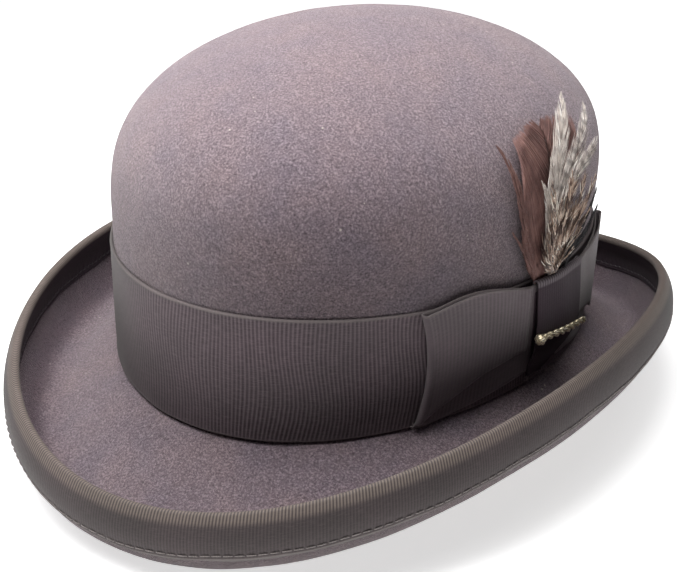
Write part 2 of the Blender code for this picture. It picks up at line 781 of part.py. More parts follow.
def build_feather_trim():
    """Card and feathers under one empty, which lies on the line that they slide along."""
    mount = bpy.data.objects.new("feather_trim", None)
    bpy.context.scene.collection.objects.link(mount)
    mount.location = wall_point((KNOT_FROM + KNOT_TO) / 2, QUILL_BOTTOM, QUILL_OUT)
    mount.rotation_mode = "QUATERNION"
    mount.rotation_quaternion = slide_direction().to_track_quat("Z", "Y")
    bpy.context.view_layer.update()
    pieces = [build_feather_card()]
    for name, quill_at, lie, look, blade in FEATHERS:
        pieces.append(build_feather(name, radians(quill_at), lie * MM, look, blade))
    for piece in pieces:
        piece.parent = mount
        piece.matrix_parent_inverse = mount.matrix_world.inverted()


def clear_scene():
    for old in list(bpy.data.objects):
        bpy.data.objects.remove(old)


def main():
    clear_scene()
    build_felt_body()
    build_brim_binding()
    build_binding_stitches("binding_stitches_outer", -1, BINDING_OUTER_WIDTH)
    build_binding_stitches("binding_stitches_inner", 1, BINDING_INNER_WIDTH)
    build_hat_band()
    build_wing("bow_front_wing", WING_SPLIT - WING_APART, KNOT_FROM, WING_END_FRONT, (3.4 * MM, 9.5 * MM, 20.0 * MM))
    build_wing("bow_rear_wing", WING_SPLIT + WING_APART, KNOT_TO, WING_END_REAR, (4.6 * MM, 9.5 * MM, 9.5 * MM))
    knot = build_bow_knot()
    build_bar_pin(knot)
    build_pin_bead()
    thread_tack("bow_tack_front", radians(-43.6), 4.4 * MM, 1.9 * MM)
    thread_tack("bow_tack_knot", radians(-12.5), 5.8 * MM, 2.0 * MM)
    thread_tack("bow_tack_rear", radians(30.9), 6.0 * MM, 1.9 * MM)
    build_sweatband()
    build_size_bow()
    build_lining()
    build_feather_trim()


main()
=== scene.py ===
"""Visual model of the bowler hat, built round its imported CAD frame.

Lengths inside this script are millimetres until a mesh is made. The front of the hat faces -Y and the
wearer's left, the side with the bow, is +X. Angles round the hat start at +X and turn towards +Y.
Heights are counted from the brim break, as in the CAD source.
"""

from math import pi

import bmesh
import bpy
import numpy as np
from mathutils import Matrix, Vector, noise


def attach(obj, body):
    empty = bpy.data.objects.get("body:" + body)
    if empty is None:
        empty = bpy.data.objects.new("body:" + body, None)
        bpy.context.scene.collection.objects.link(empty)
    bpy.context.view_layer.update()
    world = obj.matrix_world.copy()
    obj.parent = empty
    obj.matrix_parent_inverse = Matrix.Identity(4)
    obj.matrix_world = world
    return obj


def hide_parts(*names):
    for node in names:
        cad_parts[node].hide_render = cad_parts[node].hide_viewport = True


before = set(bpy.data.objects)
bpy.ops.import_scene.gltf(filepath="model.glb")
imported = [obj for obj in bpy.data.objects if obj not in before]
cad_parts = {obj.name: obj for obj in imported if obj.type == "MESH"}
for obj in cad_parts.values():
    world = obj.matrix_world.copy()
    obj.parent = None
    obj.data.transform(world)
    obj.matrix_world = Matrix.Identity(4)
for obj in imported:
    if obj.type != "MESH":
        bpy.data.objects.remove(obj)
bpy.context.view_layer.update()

MM = 0.001
TURN = 2 * pi
deg = np.radians

# Shape of the crown and the brim: the same numbers as the CAD source.
HALF_WIDTH, HALF_LENGTH, EGG = 87.0, 100.3, 0.034
FELT = 2.2
CROWN_HEIGHT, DOME_START = 122.8, 63.1
DOME_POWER_UP, DOME_POWER_ACROSS, APEX_ROUNDING = 2.75, 1.67, 0.15
WALL_SWELL = 0.016
CROWN_LEAN = (5.2, 2.2)
BREAK_RISE, BREAK_LEVEL, BREAK_RADIUS = 3.3, 0.4, 1.8
BRIM_SLOPE = deg(34.8)
SLOPE_LENGTH = (23.1, -14.0)
CURL_RADIUS = (14.6, 0.85)
CURL_SWEEP = deg(163.0)
DIAGONAL_LIFT = 1.7
BREAK_HEIGHT = 28.934
LIP = CURL_SWEEP - BRIM_SLOPE
BAND_BOTTOM, BAND_TOP = 1.4, 45.6


# ---------------------------------------------------------------- the hat's surfaces


def smooth(low, high, x):
    s = np.clip((x - low) / (high - low), 0.0, 1.0)
    return s * s * (3 - 2 * s)


def mixed(a, b, share):
    return a + (b - a) * share


def bell(x, width):
    return np.exp(-((x / width) ** 2))


def round_angles(count):
    return np.arange(count) / count * TURN


def oval(t, out=0.0):
    """The crown's foot, seen from above, at a distance out of the felt's outside."""
    c, s = np.cos(t), np.sin(t)
    x, y = HALF_WIDTH * c * (1 + EGG * s), HALF_LENGTH * s
    run_x = HALF_WIDTH * (-s * (1 + EGG * s) + c * EGG * c)
    run_y = HALF_LENGTH * c
    length = np.hypot(run_x, run_y)
    return x + out * run_y / length, y - out * run_x / length


def leaned(x, y, height):
    share = (np.maximum(height, 0.0) / CROWN_HEIGHT) ** 2
    return np.stack([x + CROWN_LEAN[0] * share, y + CROWN_LEAN[1] * share, BREAK_HEIGHT + height], axis=-1)


def wall(t, height, out=0.0):
    height = height + 0 * t
    x, y = oval(t, out)
    swell = 1 + WALL_SWELL * height / DOME_START
    return leaned(x * swell, y * swell, height)


def dome(t, angle, out=0.0):
    """A point on the dome; angle runs from 0 at its foot to a quarter turn at the apex."""
    power, r = DOME_POWER_ACROSS, APEX_ROUNDING
    norm = (1 + r**2) ** (power / 2) - r**power
    inner = (norm * np.cos(angle) ** 2 + r**power) ** (2 / power) - r**2
    scale = np.sqrt(np.maximum(inner, 0.0)) * (1 + WALL_SWELL)
    rise = CROWN_HEIGHT + out - DOME_START
    height = DOME_START + rise * np.maximum(np.sin(angle), 0.0) ** (2 / DOME_POWER_UP) + 0 * t
    x, y = oval(t, out)
    return leaned(x * scale, y * scale, height)


def apex_of(out):
    return dome(np.zeros(1), pi / 2, out)[0]


def crown(t, height, out=0.0):
    """A point on the wall or the dome, at a height above the break and a distance out of the surface."""
    t, height, out = np.broadcast_arrays(*(np.asarray(v, float) for v in (t, height, out)))
    share = np.clip((height - DOME_START) / (CROWN_HEIGHT + out - DOME_START), 0.0, 1.0)
    angle = np.arcsin(share ** (DOME_POWER_UP / 2))
    return np.where((height <= DOME_START)[..., None], wall(t, height, out), dome(t, angle, out))


def crown_axes(t, height, out):
    """(place, along, up, normal) on the crown's surface, all in mm."""
    here = crown(t, height, out)
    along = crown(t + 0.004, height, out) - crown(t - 0.004, height, out)
    up = crown(t, height + 0.25, out) - crown(t, height - 0.25, out)
    along, up = along / np.linalg.norm(along), up / np.linalg.norm(up)
    normal = np.cross(along, up)
    return here, along, up, normal / np.linalg.norm(normal)


def around(pair, t):
    return pair[0] + pair[1] * np.cos(2 * t)


def break_rise(t):
    """The brim break is higher at the sides than at the front and back."""
    return BREAK_RISE * np.cos(2 * t)


def brim_station(t, share=1.0, curl_angle=None):
    """(out, height, direction) on the middle of the brim's felt: down the slope, then round the curl."""
    run = around(SLOPE_LENGTH, t) * share
    radius = around(CURL_RADIUS, t)
    out = -FELT / 2 + run * np.cos(BRIM_SLOPE)
    height = BREAK_LEVEL + break_rise(t) - run * np.sin(BRIM_SLOPE)
    height = height - DIAGONAL_LIFT * np.cos(4 * t) * share
    if curl_angle is None:
        return out, height, -BRIM_SLOPE + 0 * t
    out = out + radius * (np.sin(curl_angle) + np.sin(BRIM_SLOPE))
    height = height + radius * (np.cos(BRIM_SLOPE) - np.cos(curl_angle))
    return out, height, curl_angle + 0 * t


def brim(t, station, above=0.0):
    out, height, direction = station
    x, y = oval(t, out - above * np.sin(direction))
    return np.stack([x, y, BREAK_HEIGHT + height + above * np.cos(direction)], axis=-1)


def round_lip(t, angle, radius):
    """A point at a radius round the brim's raw edge."""
    out, height, _ = brim_station(t, 1.0, LIP)
    x, y = oval(t, out + radius * np.cos(angle))
    return np.stack([x, y, BREAK_HEIGHT + height + radius * np.sin(angle)], axis=-1)


def even_angles(count, out):
    """Angles that are evenly spaced by distance along the oval, and its whole length."""
    table = np.linspace(0.0, TURN, 4001)
    x, y = oval(table, out)
    steps = np.hypot(np.diff(x), np.diff(y))
    travelled = np.concatenate([[0.0], np.cumsum(steps)])
    return np.interp(np.arange(count) / count * travelled[-1], travelled, table), travelled[-1]


def even_ribs(out, pitch):
    """Four columns to a rib round the oval: (their angles, their places in ribs, the oval's length)."""
    ribs = int(round(even_angles(8, out)[1] / pitch))
    t, length = even_angles(ribs * 4, out)
    return t, np.arange(ribs * 4) / 4, length


def rib_uvs(columns):
    """UV u at each column of a wrapped ribbon, in ribs; the crest of a rib is at a quarter."""
    return np.arange(columns + 1) / 4 + 0.25


# ---------------------------------------------------------------- meshes


def add_object(name, data):
    made = bpy.data.objects.new(name, data)
    bpy.context.scene.collection.objects.link(made)
    return made


def place_piece(name, mesh, look, nodes, body="hat"):
    turn_outward(mesh)
    made = add_object(name, mesh)
    mesh.materials.append(look)
    mesh.shade_smooth()
    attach(made, body)
    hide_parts(*nodes)
    return made


def turn_outward(mesh):
    work = bmesh.new()
    work.from_mesh(mesh)
    bmesh.ops.recalc_face_normals(work, faces=work.faces)
    work.to_mesh(mesh)
    work.free()


def mesh_from(name, points, faces, uvs=()):
    """points in mm, faces as one array per polygon size, uvs as (loops, 2) arrays in the same order."""
    mesh = bpy.data.meshes.new(name)
    sizes = np.concatenate([np.full(len(f), f.shape[1]) for f in faces])
    loops = np.concatenate([f.reshape(-1) for f in faces])
    mesh.vertices.add(len(points))
    mesh.vertices.foreach_set("co", (np.asarray(points) * MM).astype(np.float32).reshape(-1))
    mesh.loops.add(len(loops))
    mesh.loops.foreach_set("vertex_index", loops.astype(np.int32))
    mesh.polygons.add(len(sizes))
    starts = np.concatenate([[0], np.cumsum(sizes)[:-1]])
    mesh.polygons.foreach_set("loop_start", starts.astype(np.int32))
    for layer_name, layer in zip(("main", "barb"), uvs):
        made = mesh.uv_layers.new(name=layer_name)
        made.data.foreach_set("uv", np.concatenate([u.reshape(-1) for u in layer]).astype(np.float32))
    mesh.update(calc_edges=True)
    mesh.validate()
    return mesh


def grid_faces(rows, cols, wrap_rows=False, wrap_cols=True, us=None, vs=None):
    """Quads of a grid, with the matching UV corners. us and vs reach one step past a wrapped side."""
    us = np.arange(cols + 1.0) if us is None else us
    vs = np.arange(rows + 1.0) if vs is None else vs
    r = np.arange(rows if wrap_rows else rows - 1)
    c = np.arange(cols if wrap_cols else cols - 1)
    rr, cc = np.meshgrid(r, c, indexing="ij")
    rr, cc = rr.reshape(-1), cc.reshape(-1)
    r2, c2 = (rr + 1) % rows, (cc + 1) % cols
    faces = np.stack([rr * cols + cc, rr * cols + c2, r2 * cols + c2, r2 * cols + cc], axis=1)
    u = np.stack([us[cc], us[cc + 1], us[cc + 1], us[cc]], axis=1)
    v = np.stack([vs[rr], vs[rr], vs[rr + 1], vs[rr + 1]], axis=1)
    return faces, np.stack([u, v], axis=-1)


def grid_piece(name, rows, look, nodes, us=None, vs=None, wrap_rows=False, wrap_cols=True):
    """A piece from rows of points. One that wraps both ways is closed by itself."""
    points = np.array(rows)
    faces, uv = grid_faces(*points.shape[:2], wrap_rows, wrap_cols, us, vs)
    return place_piece(name, mesh_from(name, points.reshape(-1, 3), [faces], [[uv]]), look, nodes)


def capped_piece(name, rows, apexes, look, nodes):
    """A piece from rings of points, with fans of triangles from the first and the last ring to an apex."""
    points = np.array(rows)
    count, cols = points.shape[:2]
    c = np.arange(cols)
    faces = [grid_faces(count, cols)[0]]
    for number, row in enumerate((0, count - 1)):
        ring, following = row * cols + c, row * cols + (c + 1) % cols
        faces.append(np.stack([ring, following, np.full(cols, count * cols + number)], axis=1))
    mesh = mesh_from(name, np.concatenate([points.reshape(-1, 3), apexes]), faces)
    return place_piece(name, mesh, look, nodes)


def thicken(piece, thickness, offset=0.0):
    """Turns a sheet into a body of a ribbon's thickness."""
    modifier = piece.modifiers.new("thickness", "SOLIDIFY")
    modifier.thickness = thickness * MM
    modifier.offset = offset
    modifier.use_even_offset = False


def displace(piece, amount):
    """Moves every vertex along its normal by amount(point in mm), in mm."""
    mesh = piece.data
    count = len(mesh.vertices)
    co, normal = np.zeros(count * 3, np.float32), np.zeros(count * 3, np.float32)
    mesh.vertices.foreach_get("co", co)
    mesh.vertices.foreach_get("normal", normal)
    co, normal = co.reshape(-1, 3).astype(float), normal.reshape(-1, 3)
    moves = np.array([amount(Vector(p)) for p in co / MM])
    mesh.vertices.foreach_set("co", (co + normal * moves[:, None] * MM).astype(np.float32).reshape(-1))
    mesh.update()


def tube(points, radii, sides, turn_up=(0, 0, 1)):
    """Closed tube along points (n, 3): (vertices, quads, end triangles) with a pointed cap at each end."""
    points = np.asarray(points, float)
    count = len(points)
    run = np.gradient(points, axis=0)
    run /= np.linalg.norm(run, axis=1)[:, None]
    side = np.cross(run, np.asarray(turn_up, float))
    side /= np.linalg.norm(side, axis=1)[:, None]
    up = np.cross(side, run)
    a = round_angles(sides)
    radii = np.broadcast_to(np.asarray(radii, float), count)
    ring = np.cos(a)[None, :, None] * side[:, None] + np.sin(a)[None, :, None] * up[:, None]
    body = points[:, None] + ring * radii[:, None, None]
    ends = np.array([points[0] - run[0] * radii[0] * 0.5, points[-1] + run[-1] * radii[-1] * 0.5])
    k = np.arange(sides)
    j = (k + 1) % sides
    quads = []
    for here in np.arange(count - 1) * sides:
        quads.append(np.stack([here + k, here + j, here + sides + j, here + sides + k], axis=1))
    last = (count - 1) * sides
    tris = [np.stack([j, k, np.full(sides, count * sides)], axis=1)]
    tris.append(np.stack([last + k, last + j, np.full(sides, count * sides + 1)], axis=1))
    return np.concatenate([body.reshape(-1, 3), ends]), np.concatenate(quads), np.concatenate(tris)


def join_tubes(name, tubes, look, nodes):
    points, quads, tris, start = [], [], [], 0
    for p, q, t in tubes:
        points.append(p)
        quads.append(q + start)
        tris.append(t + start)
        start += len(p)
    mesh = mesh_from(name, np.concatenate(points), [np.concatenate(quads), np.concatenate(tris)])
    return place_piece(name, mesh, look, nodes)


# ---------------------------------------------------------------- materials


class Look:
    """A node material under construction. Sockets are passed from one call to the next."""

    def __init__(self, name, color, roughness, metallic=0.0, sheen=0.0, sheen_tint=(1.0, 1.0, 1.0), ior=1.5):
        self.material = bpy.data.materials.new(name)
        self.material.use_nodes = True
        self.tree = self.material.node_tree
        self.shader = self.tree.nodes["Principled BSDF"]
        self.put(self.shader, "Base Color", color)
        self.put(self.shader, "Roughness", roughness)
        self.put(self.shader, "Metallic", metallic)
        self.put(self.shader, "IOR", ior)
        self.put(self.shader, "Sheen Weight", sheen)
        self.put(self.shader, "Sheen Roughness", 0.45)
        self.put(self.shader, "Sheen Tint", sheen_tint)
        self.material.diffuse_color = (*color, 1.0)

    def put(self, node, socket, value):
        """Links a socket, or sets its constant. A constant colour is opaque."""
        target = node.inputs[socket]
        if isinstance(value, bpy.types.NodeSocket):
            self.tree.links.new(value, target)
        else:
            target.default_value = (*value, 1.0) if target.type == "RGBA" else value

    def add(self, kind, inputs=(), **settings):
        """A new node. inputs gives each socket, by name or number, what put takes."""
        made = self.tree.nodes.new(kind)
        for key, value in settings.items():
            setattr(made, key, value)
        for socket, value in dict(inputs).items():
            self.put(made, socket, value)
        return made

    def place(self, scale=1.0):
        """Position on the piece in mm, times scale, which is one number or one for each axis."""
        start = self.add("ShaderNodeTexCoord").outputs["Object"]
        scale = tuple(np.broadcast_to(scale, 3) / MM)
        return self.add("ShaderNodeMapping", {"Vector": start, "Scale": scale}).outputs[0]

    def uv(self, name, scale=(1.0, 1.0, 1.0)):
        start = self.add("ShaderNodeUVMap", uv_map=name).outputs[0]
        return self.add("ShaderNodeMapping", {"Vector": start, "Scale": scale}).outputs[0]

    def normal(self):
        return self.add("ShaderNodeNewGeometry").outputs["Normal"]

    def cloud(self, vector, detail=2.0, rough=0.5, distortion=0.0):
        inputs = {"Vector": vector, "Scale": 1.0, "Detail": detail}
        inputs.update({"Roughness": rough, "Distortion": distortion})
        return self.add("ShaderNodeTexNoise", inputs).outputs["Fac"]

    def cells(self, vector, output="Distance"):
        return self.add("ShaderNodeTexVoronoi", {"Vector": vector, "Scale": 1.0}).outputs[output]

    def math(self, operation, *values):
        return self.add("ShaderNodeMath", enumerate(values), operation=operation).outputs[0]

    def times(self, first, second):
        return self.math("MULTIPLY", first, second)

    def waves(self, value, length=1.0):
        return self.math("SINE", self.times(value, TURN / length))

    def axis(self, vector, index):
        return self.add("ShaderNodeSeparateXYZ", {"Vector": vector}).outputs[index]

    def ramp(self, value, stops):
        made = self.add("ShaderNodeValToRGB", {"Fac": value})
        elements = made.color_ramp.elements
        while len(elements) < len(stops):
            elements.new(0.5)
        for element, (position, color) in zip(elements, stops):
            element.position = position
            element.color = (*color, 1.0)
        return made.outputs["Color"]

    def level(self, value, low, high):
        """0 at low and 1 at high, with a soft start and end. low may be the larger of the two."""
        inputs = {"Value": value, "From Min": low, "From Max": high}
        return self.add("ShaderNodeMapRange", inputs, interpolation_type="SMOOTHSTEP").outputs[0]

    def mix(self, share, first, second, blend="MIX"):
        inputs = {0: share, 6: first, 7: second}
        return self.add("ShaderNodeMix", inputs, data_type="RGBA", blend_type=blend).outputs[2]

    def color(self, value):
        self.put(self.shader, "Base Color", value)

    def roughness(self, value, low, high):
        inputs = {"Value": value, "To Min": low, "To Max": high}
        self.put(self.shader, "Roughness", self.add("ShaderNodeMapRange", inputs).outputs[0])

    def bump(self, heights):
        """heights is a list of (height socket, depth in mm)."""
        normal = None
        for height, depth in heights:
            made = self.add("ShaderNodeBump", {"Height": height, "Strength": 1.0, "Distance": depth * MM})
            if normal is not None:
                self.put(made, "Normal", normal)
            normal = made.outputs[0]
        self.put(self.shader, "Normal", normal)


def felt_look():
    look = Look("wool_felt", (0.19, 0.15, 0.17), 0.96, sheen=0.5, sheen_tint=(0.95, 0.87, 0.88), ior=1.35)
    grain = look.cloud(look.place(1.35), detail=3.0, rough=0.65)
    fibres = look.cloud(look.place(2.6), detail=4.0, rough=0.7, distortion=1.6)
    patches = look.cloud(look.place(0.045), detail=3.0, rough=0.55)
    blotches = look.cloud(look.place(0.25))
    grains = [(0.3, (0.06, 0.04, 0.052)), (0.5, (0.19, 0.15, 0.17)), (0.68, (0.42, 0.345, 0.365))]
    tone = look.ramp(grain, grains)
    tone = look.mix(look.times(look.level(fibres, 0.45, 0.75), 0.75), tone, (0.36, 0.3, 0.325))
    warm = look.ramp(patches, [(0.32, (0.88, 0.86, 0.93)), (0.68, (1.13, 1.03, 1.0))])
    tone = look.mix(0.8, tone, warm, "MULTIPLY")
    dusky = look.ramp(blotches, [(0.3, (0.9, 0.88, 0.9)), (0.7, (1.06, 1.05, 1.05))])
    tone = look.mix(0.7, tone, dusky, "MULTIPLY")

    # Bits of lint.
    cell = look.place(0.2)
    speck = look.math("LESS_THAN", look.cells(cell), 0.075)
    chosen = look.math("GREATER_THAN", look.axis(look.cells(cell, "Color"), 0), 0.86)
    tone = look.mix(look.times(speck, chosen), tone, (0.62, 0.55, 0.5))

    # Painted shade: the crown is darkened from its shoulder down to the band, most between the fibres.
    level = look.axis(look.place(), 2)
    low = look.times(look.level(level, 132.0, 58.0), look.level(level, 52.0, 66.0))
    between = look.math("MULTIPLY_ADD", look.level(fibres, 0.58, 0.42), 0.62, 0.14)
    tone = look.mix(look.times(low, between), tone, (0.0, 0.0, 0.0))

    # Painted shade: the brim's underside is darkened, and so is the inside of its curl, which faces the
    # crown.
    normal, spot = look.normal(), look.place(0.01)
    tone = look.mix(look.level(look.axis(normal, 2), 0.0, -0.5), tone, (0.36, 0.34, 0.33), "MULTIPLY")
    outward = look.math("ADD", *[look.times(look.axis(normal, k), look.axis(spot, k)) for k in (0, 1)])
    tone = look.mix(look.level(outward, 0.1, -0.6), tone, (0.4, 0.34, 0.39), "MULTIPLY")
    look.color(tone)
    look.bump([(grain, 0.6), (fibres, 0.4)])
    return look.material


HEM_COLOR = (0.155, 0.13, 0.128)
# Added to UV v on the side of the binding that faces the crown, so that painted shade can be put on that
# side.
INNER_SIDE = 40.0


class Ribbon(Look):
    """Grosgrain: UV u counts ribs and v is the distance across the ribbon in mm."""

    def __init__(self, name, dark, light, sheen):
        super().__init__(name, light, 0.72, sheen=sheen, sheen_tint=(0.8, 0.82, 0.78), ior=1.4)
        where = self.uv("main")
        self.across = self.axis(where, 1)
        self.ridge = self.level(self.waves(self.axis(where, 0)), -0.9, 0.9)
        self.threads = self.cloud(self.uv("main", (0.35, 3.4, 1.0)), rough=0.6)
        wide = self.cloud(self.place((0.035, 0.035, 0.05)))
        tone = self.mix(self.times(self.ridge, 0.55), dark, light)
        pale = tuple(1.3 * c for c in light)
        tone = self.mix(self.times(self.level(self.threads, 0.4, 0.75), 0.35), tone, pale)
        shade = self.ramp(wide, [(0.3, (0.86, 0.88, 0.86)), (0.7, (1.12, 1.08, 1.1))])
        self.tone = self.mix(0.9, tone, shade, "MULTIPLY")

    def add_tone(self, share, color):
        self.tone = self.mix(share, self.tone, color)

    def add_hem(self, width, color, far=None):
        """A paler selvedge along v = 0, and from v = far up."""
        share = self.level(self.across, width, width * 0.45)
        if far:
            share = self.math("MAXIMUM", share, self.level(self.across, far, far + width * 0.6))
        self.add_tone(self.times(share, 0.8), color)

    def on_ridges(self, share, most, least):
        return self.times(share, self.math("MULTIPLY_ADD", self.ridge, most, least))

    def done(self):
        fine = self.cloud(self.place(2.4))
        self.color(self.tone)
        self.roughness(fine, 0.6, 0.85)
        self.bump([(self.threads, 0.09), (fine, 0.05)])
        return self.material


def band_look():
    """The band's right-hand half has painted sheen: its tone is turned flatter and greyer."""
    look = Ribbon("band_grosgrain", (0.064, 0.048, 0.055), (0.19, 0.15, 0.162), sheen=0.1)
    look.add_hem(0.9, HEM_COLOR, far=BAND_TOP - 1.1)
    # Painted sheen on the wearer's right: a flat, greyer tone over the ribs.
    painted_sheen = look.level(look.axis(look.place(), 0), -15.0, -68.0)
    look.add_tone(look.times(painted_sheen, 0.75), (0.088, 0.08, 0.078))
    return look.done()


def wing_look():
    look = Ribbon("wing_grosgrain", (0.1, 0.079, 0.087), (0.15, 0.122, 0.13), sheen=0.3)
    look.add_hem(0.9, HEM_COLOR)
    return look.done()


def knot_look():
    """Painted shade: the knot's ribbon is much darker than the wings'. Painted highlight: its top fold
    catches the light on its ribs.
    """
    look = Ribbon("knot_grosgrain", (0.028, 0.015, 0.023), (0.04, 0.023, 0.032), sheen=0.05)
    # Painted highlight along the top fold.
    fold = look.level(look.axis(look.place(), 2), 72.4, 73.3)
    look.add_tone(look.on_ridges(fold, 0.6, 0.3), (0.17, 0.145, 0.155))
    return look.done()


def binding_look():
    """The binding has a painted highlight along the lip, on its ribs, and painted shade on the side that
    faces the crown.
    """
    look = Ribbon("binding_grosgrain", (0.045, 0.035, 0.036), (0.088, 0.07, 0.07), sheen=0.1)
    look.add_hem(0.8, (0.12, 0.1, 0.095))
    # Painted highlight along the lip.
    lip = look.on_ridges(look.level(look.across, 11.5, 14.0), 0.7, 0.1)
    look.add_tone(look.times(lip, 0.5), (0.33, 0.265, 0.215))
    # Painted shade on the side that faces the crown.
    look.add_tone(look.level(look.across, INNER_SIDE - 12.0, INNER_SIDE), (0.035, 0.022, 0.03))
    return look.done()


def thread_look(name, color):
    look = Look(name, color, 0.75, sheen=0.3)
    twist = look.waves(look.axis(look.place(2.2), 2))
    fuzz = look.cloud(look.place(3.0), detail=3.0)
    shades = [tuple(factor * c for c in color) for factor in (0.6, 1.5)]
    look.color(look.mix(look.level(fuzz, 0.3, 0.75), *shades))
    look.bump([(twist, 0.05), (fuzz, 0.05)])
    return look.material


def gold_look():
    look = Look("gold_tone_brass", (0.9, 0.8, 0.6), 0.28, metallic=0.8)
    worn = look.cloud(look.place(0.9), detail=4.0, rough=0.6)
    shades = [(0.32, (0.42, 0.33, 0.2)), (0.5, (0.86, 0.75, 0.52)), (0.75, (1.0, 0.96, 0.84))]
    look.color(look.ramp(worn, shades))
    look.roughness(worn, 0.42, 0.16)
    look.bump([(look.cloud(look.place(2.2)), 0.06)])
    return look.material


def vane_look(name, dark, middle, light, streak=0.5, sheen=0.25, spread=0.18, bars=None):
    """Feather barbs. UV main is the place on the vane in mm, UV barb is (barb, distance along it).

    streak is the share of the colour that changes from barb to barb, and a smaller spread gives harder
    contrast. bars holds (spacing in mm, how much the barbs break them up, colour, strength).
    """
    look = Look(name, middle, 0.6, sheen=sheen, ior=1.4)
    strands = look.cloud(look.uv("barb", (2.3, 0.06, 1.0)), detail=3.0, rough=0.7)
    drift = look.cloud(look.uv("main", (0.12, 0.2, 1.0)))
    share = look.math("ADD", look.times(strands, streak), look.times(drift, 1 - streak))
    tone = look.ramp(share, [(0.5 - spread, dark), (0.5, middle), (0.5 + spread, light)])
    if bars:
        spacing, wobble, bar_color, amount = bars
        bent = look.math("ADD", look.axis(look.uv("main"), 0), look.times(strands, wobble))
        barred = look.level(look.waves(bent, spacing), -0.1, 0.6)
        tone = look.mix(look.times(barred, amount), tone, bar_color)
    look.color(tone)
    look.roughness(strands, 0.5, 0.8)
    return look.material


def leather_look():
    look = Look("sweatband_leather", (0.17, 0.08, 0.038), 0.45, sheen=0.1)
    grain = look.cells(look.place(0.9))
    pores = look.cloud(look.place(0.35), detail=4.0, rough=0.6)
    shades = [(0.3, (0.11, 0.046, 0.02)), (0.55, (0.185, 0.085, 0.04)), (0.8, (0.25, 0.125, 0.065))]
    look.color(look.ramp(pores, shades))
    look.roughness(pores, 0.34, 0.6)
    look.bump([(grain, 0.12), (pores, 0.12)])
    return look.material


def satin_look():
    look = Look("lining_satin", (0.5, 0.45, 0.38), 0.36, sheen=0.2)
    weave = look.cloud(look.place((0.4, 0.4, 5.0)))
    fold = look.cloud(look.place((0.06, 0.06, 0.02)))
    tone = look.ramp(fold, [(0.3, (0.42, 0.37, 0.31)), (0.7, (0.6, 0.55, 0.48))])
    look.color(look.mix(look.level(weave, 0.3, 0.7), tone, (0.52, 0.47, 0.4)))
    look.roughness(weave, 0.3, 0.45)
    look.bump([(weave, 0.03)])
    return look.material


def card_look():
    look = Look("backing_card", (0.05, 0.045, 0.045), 0.9)
    pulp = look.cloud(look.place(1.6), detail=4.0)
    look.color(look.ramp(pulp, [(0.3, (0.035, 0.03, 0.03)), (0.7, (0.075, 0.068, 0.066))]))
    look.bump([(pulp, 0.06)])
    return look.material


FELT_LOOK = felt_look()
BAND_LOOK = band_look()
WING_LOOK = wing_look()
KNOT_LOOK = knot_look()
BINDING_LOOK = binding_look()
THREAD_LOOK = thread_look("sewing_thread", (0.26, 0.225, 0.215))
BOBBIN_LOOK = thread_look("bobbin_thread", (0.05, 0.038, 0.044))
TACK_LOOK = thread_look("tack_thread", (0.2, 0.17, 0.17))
GOLD_LOOK = gold_look()
BROWN_LOOK = vane_look(
    "brown_feather", (0.07, 0.03, 0.026), (0.155, 0.074, 0.064), (0.3, 0.165, 0.14), sheen=0.05
)
GRIZZLY_LOOK = vane_look(
    "grizzly_feather", (0.2, 0.155, 0.135), (0.66, 0.58, 0.52), (0.98, 0.95, 0.9),
    streak=0.85, spread=0.11, bars=(7.0, 9.0, (0.16, 0.12, 0.11), 0.3),
)
BARRED_LOOK = vane_look(
    "barred_feather", (0.13, 0.1, 0.09), (0.6, 0.52, 0.47), (0.98, 0.94, 0.88),
    streak=0.85, spread=0.11, bars=(5.0, 9.0, (0.07, 0.05, 0.045), 0.5),
)
MOTTLED_LOOK = vane_look(
    "mottled_feather", (0.08, 0.035, 0.026), (0.46, 0.32, 0.24), (1.0, 0.93, 0.82),
    streak=0.9, spread=0.09, bars=(9.0, 30.0, (0.05, 0.022, 0.016), 0.9),
)
BLACK_LOOK = vane_look(
    "black_feather", (0.008, 0.006, 0.007), (0.016, 0.013, 0.015), (0.04, 0.034, 0.036), sheen=0.05
)
LEATHER_LOOK = leather_look()
SATIN_LOOK = satin_look()
CARD_LOOK = card_look()


# ---------------------------------------------------------------- felt body

COLUMNS = 560
DOME_ROWS = deg(np.concatenate([[89.3, 88.2, 86.5], np.arange(84.5, 0.0, -2.5), [0.0]]))
SLOPE_ROWS = (0.3, 0.44, 0.58, 0.72, 0.86, 1.0)


def felt_side(t, side):
    """Rows of the outside (side 1) or the inside (side -1) of the felt, from the apex to the lip."""
    half = side * FELT / 2
    out = 0.0 if side > 0 else -FELT
    rows = [dome(t, angle, out) for angle in DOME_ROWS]
    foot = 6.0 + break_rise(t)
    rows += [wall(t, mixed(DOME_START, foot, s), out) for s in np.linspace(0, 1, 20)[1:]]
    tangent = BREAK_RADIUS * np.tan((pi / 2 - BRIM_SLOPE) / 2)
    out_end, height_end, _ = brim_station(t, tangent / around(SLOPE_LENGTH, t))
    centre_out = out_end + BREAK_RADIUS * np.sin(BRIM_SLOPE)
    centre_height = height_end + BREAK_RADIUS * np.cos(BRIM_SLOPE)
    for a in np.linspace(-pi / 2, -BRIM_SLOPE, 7):
        station = (centre_out + BREAK_RADIUS * np.sin(a), centre_height - BREAK_RADIUS * np.cos(a), a + 0 * t)
        rows.append(brim(t, station, half))
    rows += [brim(t, brim_station(t, share), half) for share in SLOPE_ROWS]
    rows += [brim(t, brim_station(t, 1.0, a), half) for a in np.linspace(-BRIM_SLOPE, LIP, 34)[1:]]
    return rows


def felt_unevenness(p):
    soft = noise.noise(p * 0.021) * 0.35 + noise.noise(p * 0.07 + Vector((7, 1, 3))) * 0.16
    return soft + noise.noise(p * 0.45) * 0.05


